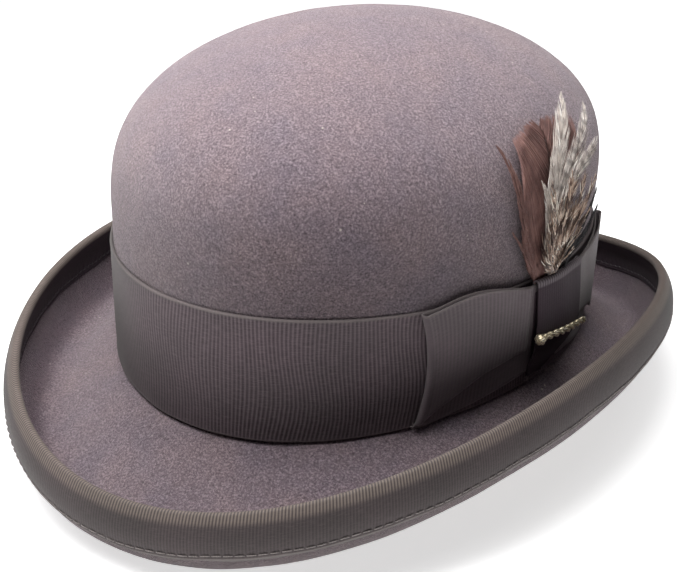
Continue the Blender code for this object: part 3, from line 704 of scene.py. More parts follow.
def build_felt():
    t = round_angles(COLUMNS)
    edge = [round_lip(t, LIP + pi / 2 - k * pi / 8, FELT / 2) for k in range(1, 8)]
    rows = felt_side(t, 1) + edge + felt_side(t, -1)[::-1]
    apexes = [apex_of(0.0), apex_of(-FELT)]
    piece = capped_piece("felt_shell", rows, apexes, FELT_LOOK, ["felt_body"])
    displace(piece, felt_unevenness)
    for vertex in piece.data.vertices:
        vertex.co.z = max(vertex.co.z, 0.0)


build_felt()


# ---------------------------------------------------------------- brim binding and its stitches

BINDING_RIB, BINDING_RIB_DEPTH = 0.92, 0.04
BINDING_NEAR, BINDING_THICK = 1.22, 0.5
BINDING_FAR = BINDING_NEAR + BINDING_THICK
BINDING_OUTER, BINDING_INNER = 15.7, 13.0
# How far out of the crown's foot the rim runs, on average.
RIM_OUT = 28.0
STITCH_PITCH, STITCH_LENGTH = 3.1, 2.5
STITCH_IN = 1.7
OUTER_WAVE, INNER_WAVE = 1.0, 4.0
HEM_ROWS = np.array([0.0, 0.35, 0.8, 1.3, 1.9, 3.0, 4.6, 6.4, 8.4, 10.4, 12.2, 13.9])


def hem_wave(t, seed):
    """The ribbon's hem isn't quite even: a slow wave of a few tenths of a millimetre."""
    return 0.25 * np.sin(7 * t + seed) + 0.2 * np.sin(17 * t + 2 * seed) + 0.12 * np.sin(41 * t + 3 * seed)


class Binding:
    """Rows of the folded ribbon: outer leg, lip, inner leg, and back along the felt."""

    def __init__(self):
        self.t, share, length = even_ribs(RIM_OUT, BINDING_RIB)
        self.rib = BINDING_RIB_DEPTH * np.cos(TURN * share)
        self.pucker = 0.6 * np.cos(TURN * length * np.arange(len(share)) / len(share) / STITCH_PITCH)
        self.rows, self.vs = [], []

    def add_leg(self, width, side, wave, hem_first):
        """One leg, with ribs between its hems, and a furrow where the stitches pull it in."""
        sweep = (width + wave) / (around(CURL_RADIUS, self.t) - side * BINDING_FAR)
        shares = np.append(HEM_ROWS[HEM_ROWS < width] / width, 1.0)
        for share in shares if hem_first else shares[::-1]:
            distance = share * width
            ribbed = smooth(0.15, 1.0, distance)
            furrow = 0.16 * bell(distance - STITCH_IN, 0.7) * (1 + self.pucker)
            lift = BINDING_FAR + self.rib * ribbed + 0.12 * (1 - ribbed) - furrow - 0.35 * (distance < 0.1)
            self.rows.append(brim(self.t, brim_station(self.t, 1.0, LIP - sweep * (1 - share)), side * lift))
            self.vs.append(distance + (INNER_SIDE if side > 0 else 0.0))

    def add_fold(self, radius, ribbed, order, v):
        for k in range(1, 8)[::order]:
            self.rows.append(round_lip(self.t, LIP - pi / 2 + k * pi / 8, radius + ribbed * self.rib))
            self.vs.append(v)

    def add_lining_rows(self, distances, side, vs):
        """The side that lies on the felt, at distances from the lip."""
        for distance in distances:
            angle = LIP - distance / around(CURL_RADIUS, self.t)
            self.rows.append(brim(self.t, brim_station(self.t, 1.0, angle), side * BINDING_NEAR))
        self.vs += vs


def build_binding():
    binding = Binding()
    binding.add_leg(BINDING_OUTER, -1, hem_wave(binding.t, OUTER_WAVE), True)
    binding.add_fold(BINDING_FAR, 0.6, 1, 14.0)
    binding.add_leg(BINDING_INNER, 1, hem_wave(binding.t, INNER_WAVE), False)
    binding.add_lining_rows((12.6, 9.0, 6.0, 3.0, 0.0), 1, [0.1, 3.0, 6.0, 9.0, 12.0])
    binding.add_fold(BINDING_NEAR, 0.0, -1, 13.0)
    binding.add_lining_rows((0.0, 4.0, 8.0, 12.0, 15.2), -1, [12.0, 9.0, 6.0, 3.0, 0.1])
    grid_piece(
        "brim_ribbon", binding.rows, BINDING_LOOK, ["brim_binding"],
        rib_uvs(len(binding.t)), np.array(binding.vs + binding.vs[:1]), wrap_rows=True,
    )


def build_edge_stitches(name, side, width, wave, look, nodes):
    """Separate stitches, each a short arc of thread that dips into the ribbon at its ends."""
    count = int(round(even_angles(8, RIM_OUT)[1] / STITCH_PITCH))
    step = TURN / count * STITCH_LENGTH / STITCH_PITCH
    share = np.linspace(-0.5, 0.5, 7)
    lift = BINDING_FAR - 0.16 + 0.34 * (1 - (2 * share) ** 4)
    tubes = []
    for start in even_angles(count, RIM_OUT)[0]:
        a = start + share * step
        sweep = (width + hem_wave(a, wave) - STITCH_IN) / (around(CURL_RADIUS, a) - side * lift)
        tubes.append(tube(brim(a, brim_station(a, 1.0, LIP - sweep), side * lift), 0.24, 6))
    join_tubes(name, tubes, look, nodes)


build_binding()
build_edge_stitches(
    "brim_stitches_outside", -1, BINDING_OUTER, OUTER_WAVE, THREAD_LOOK, ["binding_stitches_outer"]
)
build_edge_stitches(
    "brim_stitches_inside", 1, BINDING_INNER, INNER_WAVE, BOBBIN_LOOK, ["binding_stitches_inner"]
)


# ---------------------------------------------------------------- hat band

BAND_RIB, BAND_RIB_DEPTH = 1.46, 0.14
BAND_IN, BAND_OUT = 0.12, 0.95
# The wearer's right, where the ribs are worn flat.
BAND_WORN_AT = deg(-165.0)
BAND_FACE = (0.0, 0.4, 0.8, 1.3, 3.0, 8.0, 14.0, 20.0, 26.0, 32.0, 38.0, 42.0, 43.2, 44.0, 44.5, 45.0)
BAND_BACK = (45.5, 30.0, 15.0, 0.1)


def rib_drift(t, height):
    """Sideways drift of the ribs, as an angle: the ribbon was pulled and steamed round the crown."""
    share = height / BAND_TOP
    slow = 1.1 * np.sin(3.1 * share + 5 * t) * share + 0.5 * np.sin(7 * share + 11 * t)
    signed = t - TURN * (t > pi)
    near_bow = smooth(-2.4, -1.1, signed) * (1 - smooth(-0.8, -0.5, signed))
    return (slow + near_bow * 1.6 * np.sin(TURN * (share - 0.1)) * (1 - share)) / HALF_LENGTH


def band_ripple(t, height):
    """Slow waves of the ribbon off the felt, in mm."""
    wave = np.sin(9 * t + 0.05 * height) * np.sin(4 * t + 1.0) + 0.6 * np.sin(23 * t + 0.11 * height)
    return 0.1 * (wave + 1.6)


def build_band():
    t, share, _ = even_ribs(1.0, BAND_RIB)
    worn = 0.3 + 0.7 * smooth(0.35, 0.95, 1 - np.cos(t - BAND_WORN_AT))
    rib = BAND_RIB_DEPTH * worn * np.cos(TURN * share)
    low = BAND_BOTTOM + break_rise(t)

    def row(height, lift):
        return wall(t + rib_drift(t, height), mixed(low, BAND_TOP, height / BAND_TOP), lift)

    rows = []
    face = BAND_FACE + (BAND_TOP,)
    for height in face:
        edge = min(height, BAND_TOP - height)
        selvedge = 0.22 * bell(edge - 0.45, 0.35)
        ribbed = rib * smooth(0.3, 1.1, edge)
        rows.append(row(height, BAND_OUT + ribbed + selvedge + band_ripple(t, height) - 0.3 * (edge < 0.1)))
    rows += [row(height, BAND_IN + 0 * t) for height in BAND_BACK]
    grid_piece(
        "band_ribbon", rows, BAND_LOOK, ["hat_band"],
        rib_uvs(len(t)), np.array(face + BAND_BACK + (0.0,)), wrap_rows=True,
    )


build_band()


# ---------------------------------------------------------------- bow

WING_RIB, WING_RIB_DEPTH = 1.65, 0.03
RIBBON = 0.45
WING_ROWS = 27
WING_WIDTH = 43.0
# Columns of the wing that are hidden in the knot, as shares of the wing's length before its mouth.
WING_ROOT = -np.linspace(0.2, 0.0, 9)[:-1]


class Wing:
    """A folded loop of ribbon: back ply, rounded end, then a front ply whose lower edge rolls in.

    s runs from the knot's mouth (0) to the wing's tip (1). lower_edge holds (s, height) of the back
    ply's lower edge.
    """

    def __init__(self, root, mouth, tip, lower_edge, low_tip, tip_bow, top_rise, puff):
        self.root, self.mouth, self.tip = deg(root), deg(mouth), deg(tip)
        self.direction = 1 if tip > mouth else -1
        self.lower_edge = np.array(lower_edge).T
        self.low_tip, self.tip_bow, self.top_rise, self.puff = low_tip, tip_bow, top_rise, puff
        self.v = np.linspace(0, 1, WING_ROWS)
        length = abs(self.tip - self.mouth) * HALF_LENGTH
        self.columns = np.concatenate([WING_ROOT, np.linspace(0, 1, int(round(length / WING_RIB * 4)))])

    def top(self, s):
        share = np.clip(s, 0, 1)
        return mixed(44.4, 45.2, share) + self.top_rise * np.sin(pi * share**1.15) ** 1.5

    def tip_shift(self, height):
        return self.direction * deg(self.tip_bow) * (((height - 25.0) / 21.0) ** 2 - 1.0)

    def place(self, s, height, out):
        if s < 0:
            t = mixed(self.root, self.mouth, 1 + s / 0.2)
        else:
            t = mixed(self.mouth, self.tip, s)
        return crown(t + max(s, 0) ** 3 * self.tip_shift(height), height, out)

    def back_ply(self, s, number):
        """(heights, outs) down one column."""
        low = np.interp(np.clip(s, 0, 1), *self.lower_edge)
        height = mixed(self.top(s) + 0.3, low, self.v)
        belly = 0.35 * np.sin(pi * np.clip(s, 0, 1)) * np.sin(pi * self.v)
        tucked = 0.9 * smooth(0.6, 1.0, self.v) * (1 - smooth(0.7, 1.0, s))
        out = mixed(3.4, 1.75, smooth(0.0, 0.85, s)) + belly - tucked
        return height, out + WING_RIB_DEPTH * np.cos(number * pi / 2)

    def front_ply(self, s, number, mouth_out=0.0):
        """(heights, outs) down one column, with the roll at its lower edge. mouth_out is its out at s = 0."""
        c = np.clip(s, 0, 1)
        radius = mixed(1.05, 0.12, c)
        start = mixed(19.6, self.low_tip, c**2.2) + radius
        straight = self.top(c) - start
        travel = self.v * (straight + radius * pi * 1.25)
        bend = np.clip((travel - straight) / radius, 0, None)
        base = mixed(mouth_out, 3.45, np.sin(c * pi / 2))
        base = base + 0.55 * bell(1 - c, 0.035) - 1.2 * bell(c, 0.035)
        down = np.clip(travel / max(straight, 1e-3), 0, 1)
        puff = self.puff * np.sin(pi * c) * np.sin(pi * down) ** 0.8
        crease = 0.35 * bell(c - 0.16 - 0.25 * self.v, 0.07) * (1 - self.v)
        height = np.where(bend > 0, start - radius * np.sin(bend), self.top(c) - travel)
        out = base + puff - crease - np.where(bend > 0, radius * (1 - np.cos(bend)), 0.0)
        return height, out + WING_RIB_DEPTH * np.cos(number * pi / 2)

    def round_end(self):
        """Columns of the fold at the tip, from the back ply to the front ply."""
        (height_back, out_back), (height_front, out_front) = self.back_ply(1.0, 0), self.front_ply(1.0, 0)
        for a in np.linspace(-pi / 2, pi / 2, 9)[1:-1]:
            share = 0.5 + 0.5 * np.sin(a)
            height = mixed(height_back, height_front, share)
            bulge = (out_front - out_back) / 2 * np.cos(a) / HALF_LENGTH * self.direction * 1.1
            yield crown(self.tip + self.tip_shift(height) + bulge, height, mixed(out_back, out_front, share))

    def build(self, name, nodes):
        count = len(self.columns)
        back = [self.place(s, *self.back_ply(s, k)) for k, s in enumerate(self.columns)]
        ahead = count + 4
        tip_out = self.front_ply(1.0, 0)[1]
        front = []
        for k, s in enumerate(self.columns[::-1]):
            front.append(self.place(s, *self.front_ply(s, ahead + k, tip_out)))
        points = np.array(back + list(self.round_end()) + front).transpose(1, 0, 2)
        quarters = np.concatenate([np.arange(count), count + 0.5 * np.arange(1, 8), ahead + np.arange(count)])
        us = np.append(quarters, quarters[-1]) / 4
        vs = np.append(np.linspace(0, WING_WIDTH, WING_ROWS), WING_WIDTH)
        piece = grid_piece(name, points, WING_LOOK, nodes, us, vs, wrap_cols=False)
        thicken(piece, RIBBON)


FRONT_EDGE = [(0.0, 10.2), (0.25, 8.2), (0.5, 5.6), (0.75, 3.2), (0.9, 1.8), (1.0, 1.6)]
REAR_EDGE = [(0.0, 9.5), (0.5, 6.4), (1.0, 4.8)]
front_wing = Wing(-9.0, -14.6, -41.6, FRONT_EDGE, 3.4, tip_bow=2.1, top_rise=4.1, puff=0.95)
rear_wing = Wing(-4.0, 1.6, 28.8, REAR_EDGE, 4.8, tip_bow=1.4, top_rise=1.2, puff=0.25)
front_wing.build("bow_wing_front", ["bow_front_wing"])
rear_wing.build("bow_wing_rear", ["bow_rear_wing"])

# The knot's front and rear side, as (height, degrees), and its width and rib pitch.
KNOT_SIDES = (
    [(8.0, -14.4), (20.0, -14.3), (30.0, -14.2), (47.0, -14.9)],
    [(8.0, -11.4), (10.4, -7.0), (15.0, 0.4), (21.0, 3.4), (30.0, 2.6), (47.0, 0.8)],
)
KNOT_WIDTH, KNOT_RIB, KNOT_RIB_DEPTH = 27.0, 1.15, 0.035


def knot_outline():
    """(out, height) round the knot's loop: up the front, over the top, then down the back and under."""
    heights = np.linspace(9.2, 45.0, 34)
    front = [(3.6 + 2.7 * smooth(8.0, 21.0, h) - 0.5 * smooth(30.0, 46.0, h), h) for h in heights]
    top = [(4.5 + 1.3 * np.cos(a), 45.0 + 1.5 * np.sin(a)) for a in np.linspace(0, pi, 11)[1:]]
    back = [(3.2, h) for h in np.linspace(44.0, 10.0, 12)]
    under = [(3.35 - 0.3 * np.cos(a), 9.2 - 0.9 * np.sin(a)) for a in np.linspace(0, pi, 7)[1:-1]]
    return np.array(front + top + back + under), len(front + top)


def build_knot():
    outline, faces_out = knot_outline()
    cols = int(round(KNOT_WIDTH / KNOT_RIB * 4))
    share = np.linspace(0, 1, cols)
    rib = KNOT_RIB_DEPTH * np.cos(np.arange(cols) * pi / 2)
    wrap = 0.7 * (2 * np.abs(share - 0.5)) ** 6
    rows = []
    for k, (out, height) in enumerate(outline):
        front, rear = (deg(np.interp(height, *np.array(side).T)) for side in KNOT_SIDES)
        soft = 0.18 * np.sin(3.2 * pi * share + 0.08 * height) * smooth(10, 25, height)
        depth = 1.0 if k <= faces_out else -0.4
        rows.append(crown(mixed(front, rear, share), height + 0 * share, out + depth * (rib + soft - wrap)))
    travelled = np.concatenate([[0], np.cumsum(np.hypot(*np.diff(outline, axis=0).T))])
    us, vs = np.arange(cols + 1) / 4, np.append(travelled, travelled[-1] + 1) + 2.0
    piece = grid_piece(
        "bow_knot_wrap", rows, KNOT_LOOK, ["bow_knot"],
        us, vs, wrap_rows=True, wrap_cols=False,
    )
    thicken(piece, RIBBON, -1.0)


build_knot()


def build_tack(name, nodes, t, height, out, angle, seed):
    """Five crossing loops of thread and two loose ends."""
    rng = np.random.default_rng(seed)
    here, along, up, normal = crown_axes(deg(t), height, out)
    tubes = []
    for k in range(5):
        a = deg(angle) + (k - 2) * 0.35 + rng.uniform(-0.1, 0.1)
        reach = rng.uniform(0.95, 1.35)
        share = np.linspace(-1, 1, 9)
        lift = 0.55 * (1 - share**2) - 0.25 + 0.06 * k
        shift = rng.uniform(-0.25, 0.25)
        line = along * np.cos(a) + up * np.sin(a)
        across = up * np.cos(a) - along * np.sin(a)
        path = here + np.outer(share * reach, line) + shift * across + np.outer(lift, normal)
        tubes.append(tube(path, 0.17, 6, normal))
    for _ in range(2):
        a = rng.uniform(0, TURN)
        share = np.linspace(0, 1, 6)
        line = along * np.cos(a) + up * np.sin(a)
        path = here + np.outer(share * 1.7, line) + np.outer(0.25 + 0.5 * share - 0.5 * share**2, normal)
        tubes.append(tube(path, 0.1, 5, normal))
    join_tubes(name, tubes, TACK_LOOK, nodes)


build_tack("tack_front", ["bow_tack_front"], -42.6, 2.6, 2.0, 60, 3)
build_tack("tack_knot", ["bow_tack_knot"], -13.6, 6.6, 2.3, 80, 5)
build_tack("tack_rear", ["bow_tack_rear"], 30.2, 5.6, 1.9, 120, 8)


# ---------------------------------------------------------------- bar pin

# (degrees, height) of the bar's ends, and how far its middle stands out of the felt.
PIN_FROM, PIN_TO = (-13.0, 24.6), (3.0, 20.2)
PIN_OUT = 7.6


def pin_axes(share):
    """(place, along, up, normal) at a share of the bar's length."""
    angle, height = (mixed(*pair, share) for pair in zip(PIN_FROM, PIN_TO))
    return crown_axes(deg(angle), height, PIN_OUT)


def build_pin():
    """Two strands twisted round each other, closed by a collar at each end, and two prongs behind."""
    shares = np.linspace(0.0, 1.0, 90)
    stations = [pin_axes(s) for s in shares]
    tubes = []
    for strand in range(2):
        path = []
        for s, (here, _, up, normal) in zip(shares, stations):
            a = s * TURN * 3.6 + strand * pi
            path.append(here + up * 0.72 * np.cos(a) + normal * 0.5 * np.sin(a))
        tubes.append(tube(path, 0.74, 10))
    for s in (0.0, 0.985):
        here, along, _, _ = pin_axes(s)
        tubes.append(tube([here + along * d for d in (-0.55, -0.35, 0.35, 0.55)], [1.0, 1.2, 1.2, 1.0], 14))
    for s in (0.22, 0.78):
        here, _, _, normal = pin_axes(s)
        tubes.append(tube([here - normal * d for d in (0.4, 1.0, 1.9)], 0.3, 8))
    join_tubes("pin_bar", tubes, GOLD_LOOK, ["bar_pin"])


def build_bead():
    """A fluted bead at the bar's front end."""
    here, along, up, normal = pin_axes(0.0)
    centre = here - along * 2.5
    polar = np.linspace(0.04, pi - 0.04, 15)[:, None]
    a = round_angles(40)[None, :]
    radius = 2.0 * (1 + 0.07 * np.cos(8 * a) * np.sin(polar))
    out = (np.cos(polar) * radius)[..., None] * along
    out = out + (np.sin(polar) * np.cos(a) * radius)[..., None] * up
    out = out + (np.sin(polar) * np.sin(a) * radius)[..., None] * normal
    apexes = [centre + along * 2.0, centre - along * 2.0]
    capped_piece("pin_bead", centre + out, apexes, GOLD_LOOK, ["bar_pin_bead"])


build_pin()
build_bead()


# ---------------------------------------------------------------- feathers

# The crown's surface by the feathers is laid flat: climb up it, and width of a radian at each height.
HEIGHTS = np.linspace(10.0, 121.0, 400)
FEATHER_OUT = 2.0
MIDDLE, BEFORE, AFTER = (crown(np.full(400, deg(t)), HEIGHTS, FEATHER_OUT) for t in (-5.0, -5.1, -4.9))
CLIMB = np.concatenate([[0.0], np.cumsum(np.linalg.norm(np.diff(MIDDLE, axis=0), axis=1))])
SPREAD = np.linalg.norm(AFTER - BEFORE, axis=1) / deg(0.2)
SHAFT_SAMPLES = 240
BARB_STATIONS = 7
QUILL_UV = 0.3


def to_plane(angle, height):
    """Degrees and height on the crown as a place in mm on the surface laid flat."""
    beyond = np.maximum(0.0, height - HEIGHTS[-1])
    return deg(angle) * np.interp(height, HEIGHTS, SPREAD), np.interp(height, HEIGHTS, CLIMB) + beyond


def from_plane(x, y, out):
    height = np.interp(y, CLIMB, HEIGHTS)
    return crown(x / np.interp(y, CLIMB, SPREAD), height, out)


def spline(controls, count):
    """A smooth line through the control rows, with an even number of samples between them."""
    padded = np.vstack([2 * controls[0] - controls[1], controls, 2 * controls[-1] - controls[-2]])
    where = np.linspace(0, len(controls) - 1 - 1e-9, count)
    k = where.astype(int)
    s = (where - k)[:, None]
    p0, p1, p2, p3 = padded[k], padded[k + 1], padded[k + 2], padded[k + 3]
    bend, turn = 2 * p0 - 5 * p1 + 4 * p2 - p3, 3 * p1 - p0 - 3 * p2 + p3
    return 0.5 * (2 * p1 + (p2 - p0) * s + bend * s**2 + turn * s**3)


def bezier(root, bend, tip, shares):
    """Places (barbs, stations, 2) of quadratic curves at shares (barbs, stations) of their way."""
    w = shares[..., None]
    return (1 - w) ** 2 * root[:, None] + 2 * w * (1 - w) * bend[:, None] + w**2 * tip[:, None]


def to_the_right(forward):
    return np.stack([forward[:, 1], -forward[:, 0]], axis=1)


class Shaft:
    """A plume's middle line on the flat surface, from (degrees, height) controls and lifts off the crown."""

    def __init__(self, controls, outs):
        self.path = spline(np.array([to_plane(a, h) for a, h in controls]), SHAFT_SAMPLES)
        steps = np.linalg.norm(np.diff(self.path, axis=0), axis=1)
        self.travelled = np.concatenate([[0.0], np.cumsum(steps)])
        self.length = self.travelled[-1]
        self.outs = np.interp(np.linspace(0, 1, SHAFT_SAMPLES), np.linspace(0, 1, len(outs)), outs)

    def at(self, distance):
        return np.stack([np.interp(distance, self.travelled, self.path[:, k]) for k in (0, 1)], axis=-1)

    def forward(self, distance):
        run = self.at(distance + 0.5) - self.at(distance - 0.5)
        return run / np.linalg.norm(run, axis=-1, keepdims=True)

    def out(self, distance):
        return np.interp(distance, self.travelled, self.outs)


class Plumes:
    """Collects the quills and the barbs of one or more plumes into one mesh."""

    def __init__(self, seed):
        self.rng = np.random.default_rng(seed)
        self.points, self.quads, self.tris = [], [], []
        # UV corners of the quads and of the triangles, for each of the two UV maps.
        self.uvs = {"main": ([], []), "barb": ([], [])}
        self.start = 0

    def add_barbs(self, sides, lines, widths, mains, barbs):
        """Three-sided tapering solids along lines (barbs, stations, xyz). sides points off the crown."""
        count, stations = lines.shape[:2]
        run = np.gradient(lines, axis=1)
        run /= np.linalg.norm(run, axis=2, keepdims=True)
        across = np.cross(run, sides)
        across /= np.linalg.norm(across, axis=2, keepdims=True)
        half = widths[..., None] / 2
        left, right, ridge = lines - across * half, lines + across * half, lines + sides * half * 0.6
        body = np.stack([left[:, :-1], right[:, :-1], ridge[:, :-1]], axis=2)
        points = np.concatenate([body.reshape(count, -1, 3), lines[:, -1:]], axis=1)
        size = (stations - 1) * 3 + 1
        pairs = ((0, 1), (1, 2), (2, 0))
        quads, quad_station = [], []
        for r in range(stations - 2):
            for a, b in pairs:
                quads.append([r * 3 + a, r * 3 + b, (r + 1) * 3 + b, (r + 1) * 3 + a])
                quad_station.append([r, r, r + 1, r + 1])
        last = (stations - 2) * 3
        tris = [[last + a, last + b, size - 1] for a, b in pairs] + [[0, 2, 1]]
        tri_station = [[stations - 2, stations - 2, stations - 1]] * 3 + [[0, 0, 0]]
        base = self.start + np.arange(count)[:, None, None] * size
        self.points.append(points.reshape(-1, 3))
        self.quads.append((base + np.array(quads)).reshape(-1, 4))
        self.tris.append((base + np.array(tris)).reshape(-1, 3))
        for name, values in (("main", mains), ("barb", barbs)):
            for store, station in zip(self.uvs[name], (quad_station, tri_station)):
                store.append(values[:, np.array(station)].reshape(-1, 2))
        self.start += count * size

    def add_quill(self, path, outs, radii):
        """The shaft, from the pocket to just below the tip."""
        places = from_plane(path[:, 0], path[:, 1], outs)
        points, quads, tris = tube(places, np.linspace(*radii, len(places)), 6)
        self.points.append(points)
        self.quads.append(quads + self.start)
        self.tris.append(tris + self.start)
        for stores in self.uvs.values():
            for store, faces in zip(stores, (quads, tris)):
                store.append(np.full((faces.size, 2), QUILL_UV))
        self.start += len(points)

    def plume(self, controls, outs, widths, cut_at=None, quill=(0.32, 0.12), **style):
        """One feather. widths: (share, left, right) places of the barb tips in mm. cut_at trims its top."""
        shaft = Shaft(controls, outs)
        end = SHAFT_SAMPLES if cut_at is None else int(np.searchsorted(shaft.path[:, 1], cut_at[1] - 1.0))
        self.add_quill(shaft.path[:end:6], shaft.outs[:end:6], quill)
        share_at, left, right = np.array(widths).T
        for side, profile in ((-1, left), (1, right)):
            self.add_vane(shaft, side, share_at, profile, cut_at, **style)

    def add_vane(self, shaft, side, share_at, profile, cut_at, lean=28.0, spacing=0.34, barb=0.5, ragged=0.12,
                 split=0.1, bare=0.0, fluff=0.0, swing=0.8):
        """Barbs along one side. Groups of them swing together, which opens the splits between groups."""
        rng = self.rng
        start = bare * shaft.length
        count = int((shaft.length - start) / spacing)
        where = start + (np.arange(count) + 0.5) * spacing
        group = np.cumsum(rng.uniform(0, 1, count) < split)
        drift = rng.normal(0, swing, group[-1] + 1)[group]
        tip_at = np.minimum(where + rng.uniform(-0.4, 0.4, count) * spacing + drift, shaft.length - 0.01)
        shortened = 1 - ragged * rng.uniform(0, 1, count) ** 1.5
        reach = np.interp(tip_at / shaft.length, share_at, profile) * shortened
        angle = deg(lean * rng.uniform(0.85, 1.15, count))
        root_at = np.maximum(tip_at - reach / np.tan(angle) - 1.0, start * rng.uniform(0.86, 1.0, count))
        root, forward = shaft.at(root_at), shaft.forward(root_at)
        away = to_the_right(shaft.forward(tip_at)) * side
        tip = shaft.at(tip_at) + away * (reach + fluff * rng.normal(0, 1, count))[:, None]
        leaving = forward * np.cos(angle * 1.5)[:, None]
        leaving = leaving + to_the_right(forward) * side * np.sin(angle * 1.5)[:, None]
        bend = root + leaving * np.linalg.norm(tip - root, axis=1)[:, None] * 0.5
        kept = np.ones(count) if cut_at is None else self.kept_shares(root, bend, tip, cut_at)
        stays = kept > 0.08
        q = np.linspace(0, 1, BARB_STATIONS)[None] * np.minimum(kept, 1.0)[:, None]
        flat = bezier(root, bend, tip, q)
        aside = reach[:, None] * q
        lift = shaft.out(root_at)[:, None] + 0.15 * aside / 10.0 + rng.uniform(-0.15, 0.15, count)[:, None]
        lift = lift + fluff * rng.uniform(-0.4, 1.0, count)[:, None] * q
        places = from_plane(flat[..., 0], flat[..., 1], lift)
        higher = from_plane(flat[..., 0], flat[..., 1], lift + 1.0)
        taper = 1 - 0.7 * np.linspace(0, 1, BARB_STATIONS) ** 2
        thick = barb * taper[None] * rng.uniform(0.7, 1.25, count)[:, None]
        mains = np.stack([root_at[:, None] + (tip_at - root_at)[:, None] * q, side * aside], axis=-1)
        strand = np.arange(count)[:, None] * 0.37 + 50 * side + rng.uniform(0, 0.5, count)[:, None]
        barbs = np.stack([strand + 0 * aside, aside], axis=-1)
        self.add_barbs((higher - places)[stays], places[stays], thick[stays], mains[stays], barbs[stays])

    def kept_shares(self, root, bend, tip, cut_at):
        """How much of each barb lies below the shallow arch at which the feather is cut."""
        fine = bezier(root, bend, tip, np.linspace(0, 1, 40)[None])
        uneven = self.rng.uniform(-1.3, 0.6, (len(root), 1))
        limit = cut_at[1] - 0.011 * (fine[..., 0] - cut_at[0]) ** 2 + uneven
        return (fine[..., 1] < limit).sum(axis=1) / 39.0

    def finish(self, name, look, nodes):
        uvs = [[np.concatenate(store) for store in stores] for stores in self.uvs.values()]
        faces = [np.concatenate(self.quads), np.concatenate(self.tris)]
        mesh = mesh_from(name, np.concatenate(self.points), faces, uvs)
        place_piece(name, mesh, look, nodes, "feather_trim")


# Half widths of the broad vane, left and right, at heights up the crown.
BROAD_HALVES = (
    (40, 1.0, 0.6), (46, 4.4, 2.0), (52, 9.0, 4.6), (58, 12.6, 7.2), (65, 15.0, 10.0), (74, 16.0, 13.2),
    (84, 16.4, 16.5), (92, 16.6, 19.0), (100, 17.0, 21.0), (151, 20.0, 24.0),
)
POCKET, BROAD_END = 20, 151


def broad_share(height):
    """Share of the way up the broad feather's shaft, measured up the crown."""
    low, here, high = (to_plane(0.0, h)[1] for h in (POCKET, height, BROAD_END))
    return (here - low) / (high - low)


def build_broad():
    """The wide brown feather, whose top is cut off."""
    broad = Plumes(11)
    broad.plume(
        [(-11.2, POCKET), (-12.6, 48), (-12.5, 58), (-12.0, 68), (-11.0, 80), (-9.5, 92), (-8.6, 104),
         (-7.5, 114), (-7.0, 121), (-7.0, 136), (-7.0, BROAD_END)],
        [2.55, 2.5, 2.4, 2.2, 2.0, 1.8, 1.8, 1.8, 1.8, 1.8, 1.8],
        [(0, 0.3, 0.3)] + [(broad_share(h), left, right) for h, left, right in BROAD_HALVES],
        cut_at=to_plane(-8.5, 99.0),
        lean=25, spacing=0.15, barb=0.6, ragged=0.09, split=0.07, bare=0.16, swing=0.5,
    )
    broad.finish("plume_broad_brown", BROWN_LOOK, ["feather_broad_brown"])


def build_wisp():
    """Thin brown strands that lean away in front of the broad feather."""
    wisp = Plumes(12)
    wisp.plume(
        [(-12.8, POCKET), (-14.6, 46), (-17.0, 56), (-19.0, 65), (-20.8, 76), (-22.2, 87), (-24.6, 97)],
        [2.55, 2.9, 3.1, 3.1, 3.0, 2.9, 2.9],
        [(0, 0.2, 0.2), (0.36, 0.9, 1.2), (0.55, 1.7, 2.4), (0.8, 1.4, 2.0), (0.93, 0.8, 1.1), (1, 0.2, 0.2)],
        quill=(0.3, 0.1), lean=15, spacing=0.32, barb=0.4, ragged=0.45, split=0.25, bare=0.33,
    )
    wisp.plume(
        [(-12.6, 40), (-15.6, 53), (-18.2, 63), (-20.4, 75), (-22.4, 88)],
        [2.6, 3.2, 3.4, 3.4, 3.2],
        [(0, 0.1, 0.1), (0.3, 0.7, 0.9), (0.6, 1.2, 1.6), (1, 0.2, 0.2)],
        quill=(0.2, 0.08), lean=14, spacing=0.4, barb=0.36, ragged=0.6, split=0.3, bare=0.25,
    )
    wisp.plume(
        [(-12.7, 44), (-15.0, 49), (-17.4, 55), (-20.2, 62), (-23.0, 68.5)],
        [2.6, 2.7, 2.8, 2.9, 2.9],
        [(0, 0.1, 0.1), (0.5, 0.6, 0.7), (1, 0.15, 0.15)],
        quill=(0.16, 0.07), lean=18, spacing=0.4, barb=0.3, bare=0.3,
    )
    wisp.finish("plume_wisp", BROWN_LOOK, ["feather_brown_wisp"])


GRIZZLY_WIDTHS = [
    (0, 0.3, 0.3), (0.3, 0.6, 0.8), (0.5, 2.0, 2.4), (0.68, 4.2, 4.2), (0.86, 4.0, 4.0), (0.95, 2.2, 2.2),
    (1, 0.3, 0.3),
]
GRIZZLY_STYLE = {
    "lean": 11, "spacing": 0.34, "barb": 0.4, "ragged": 0.75, "split": 0.2, "bare": 0.24, "fluff": 0.2,
}


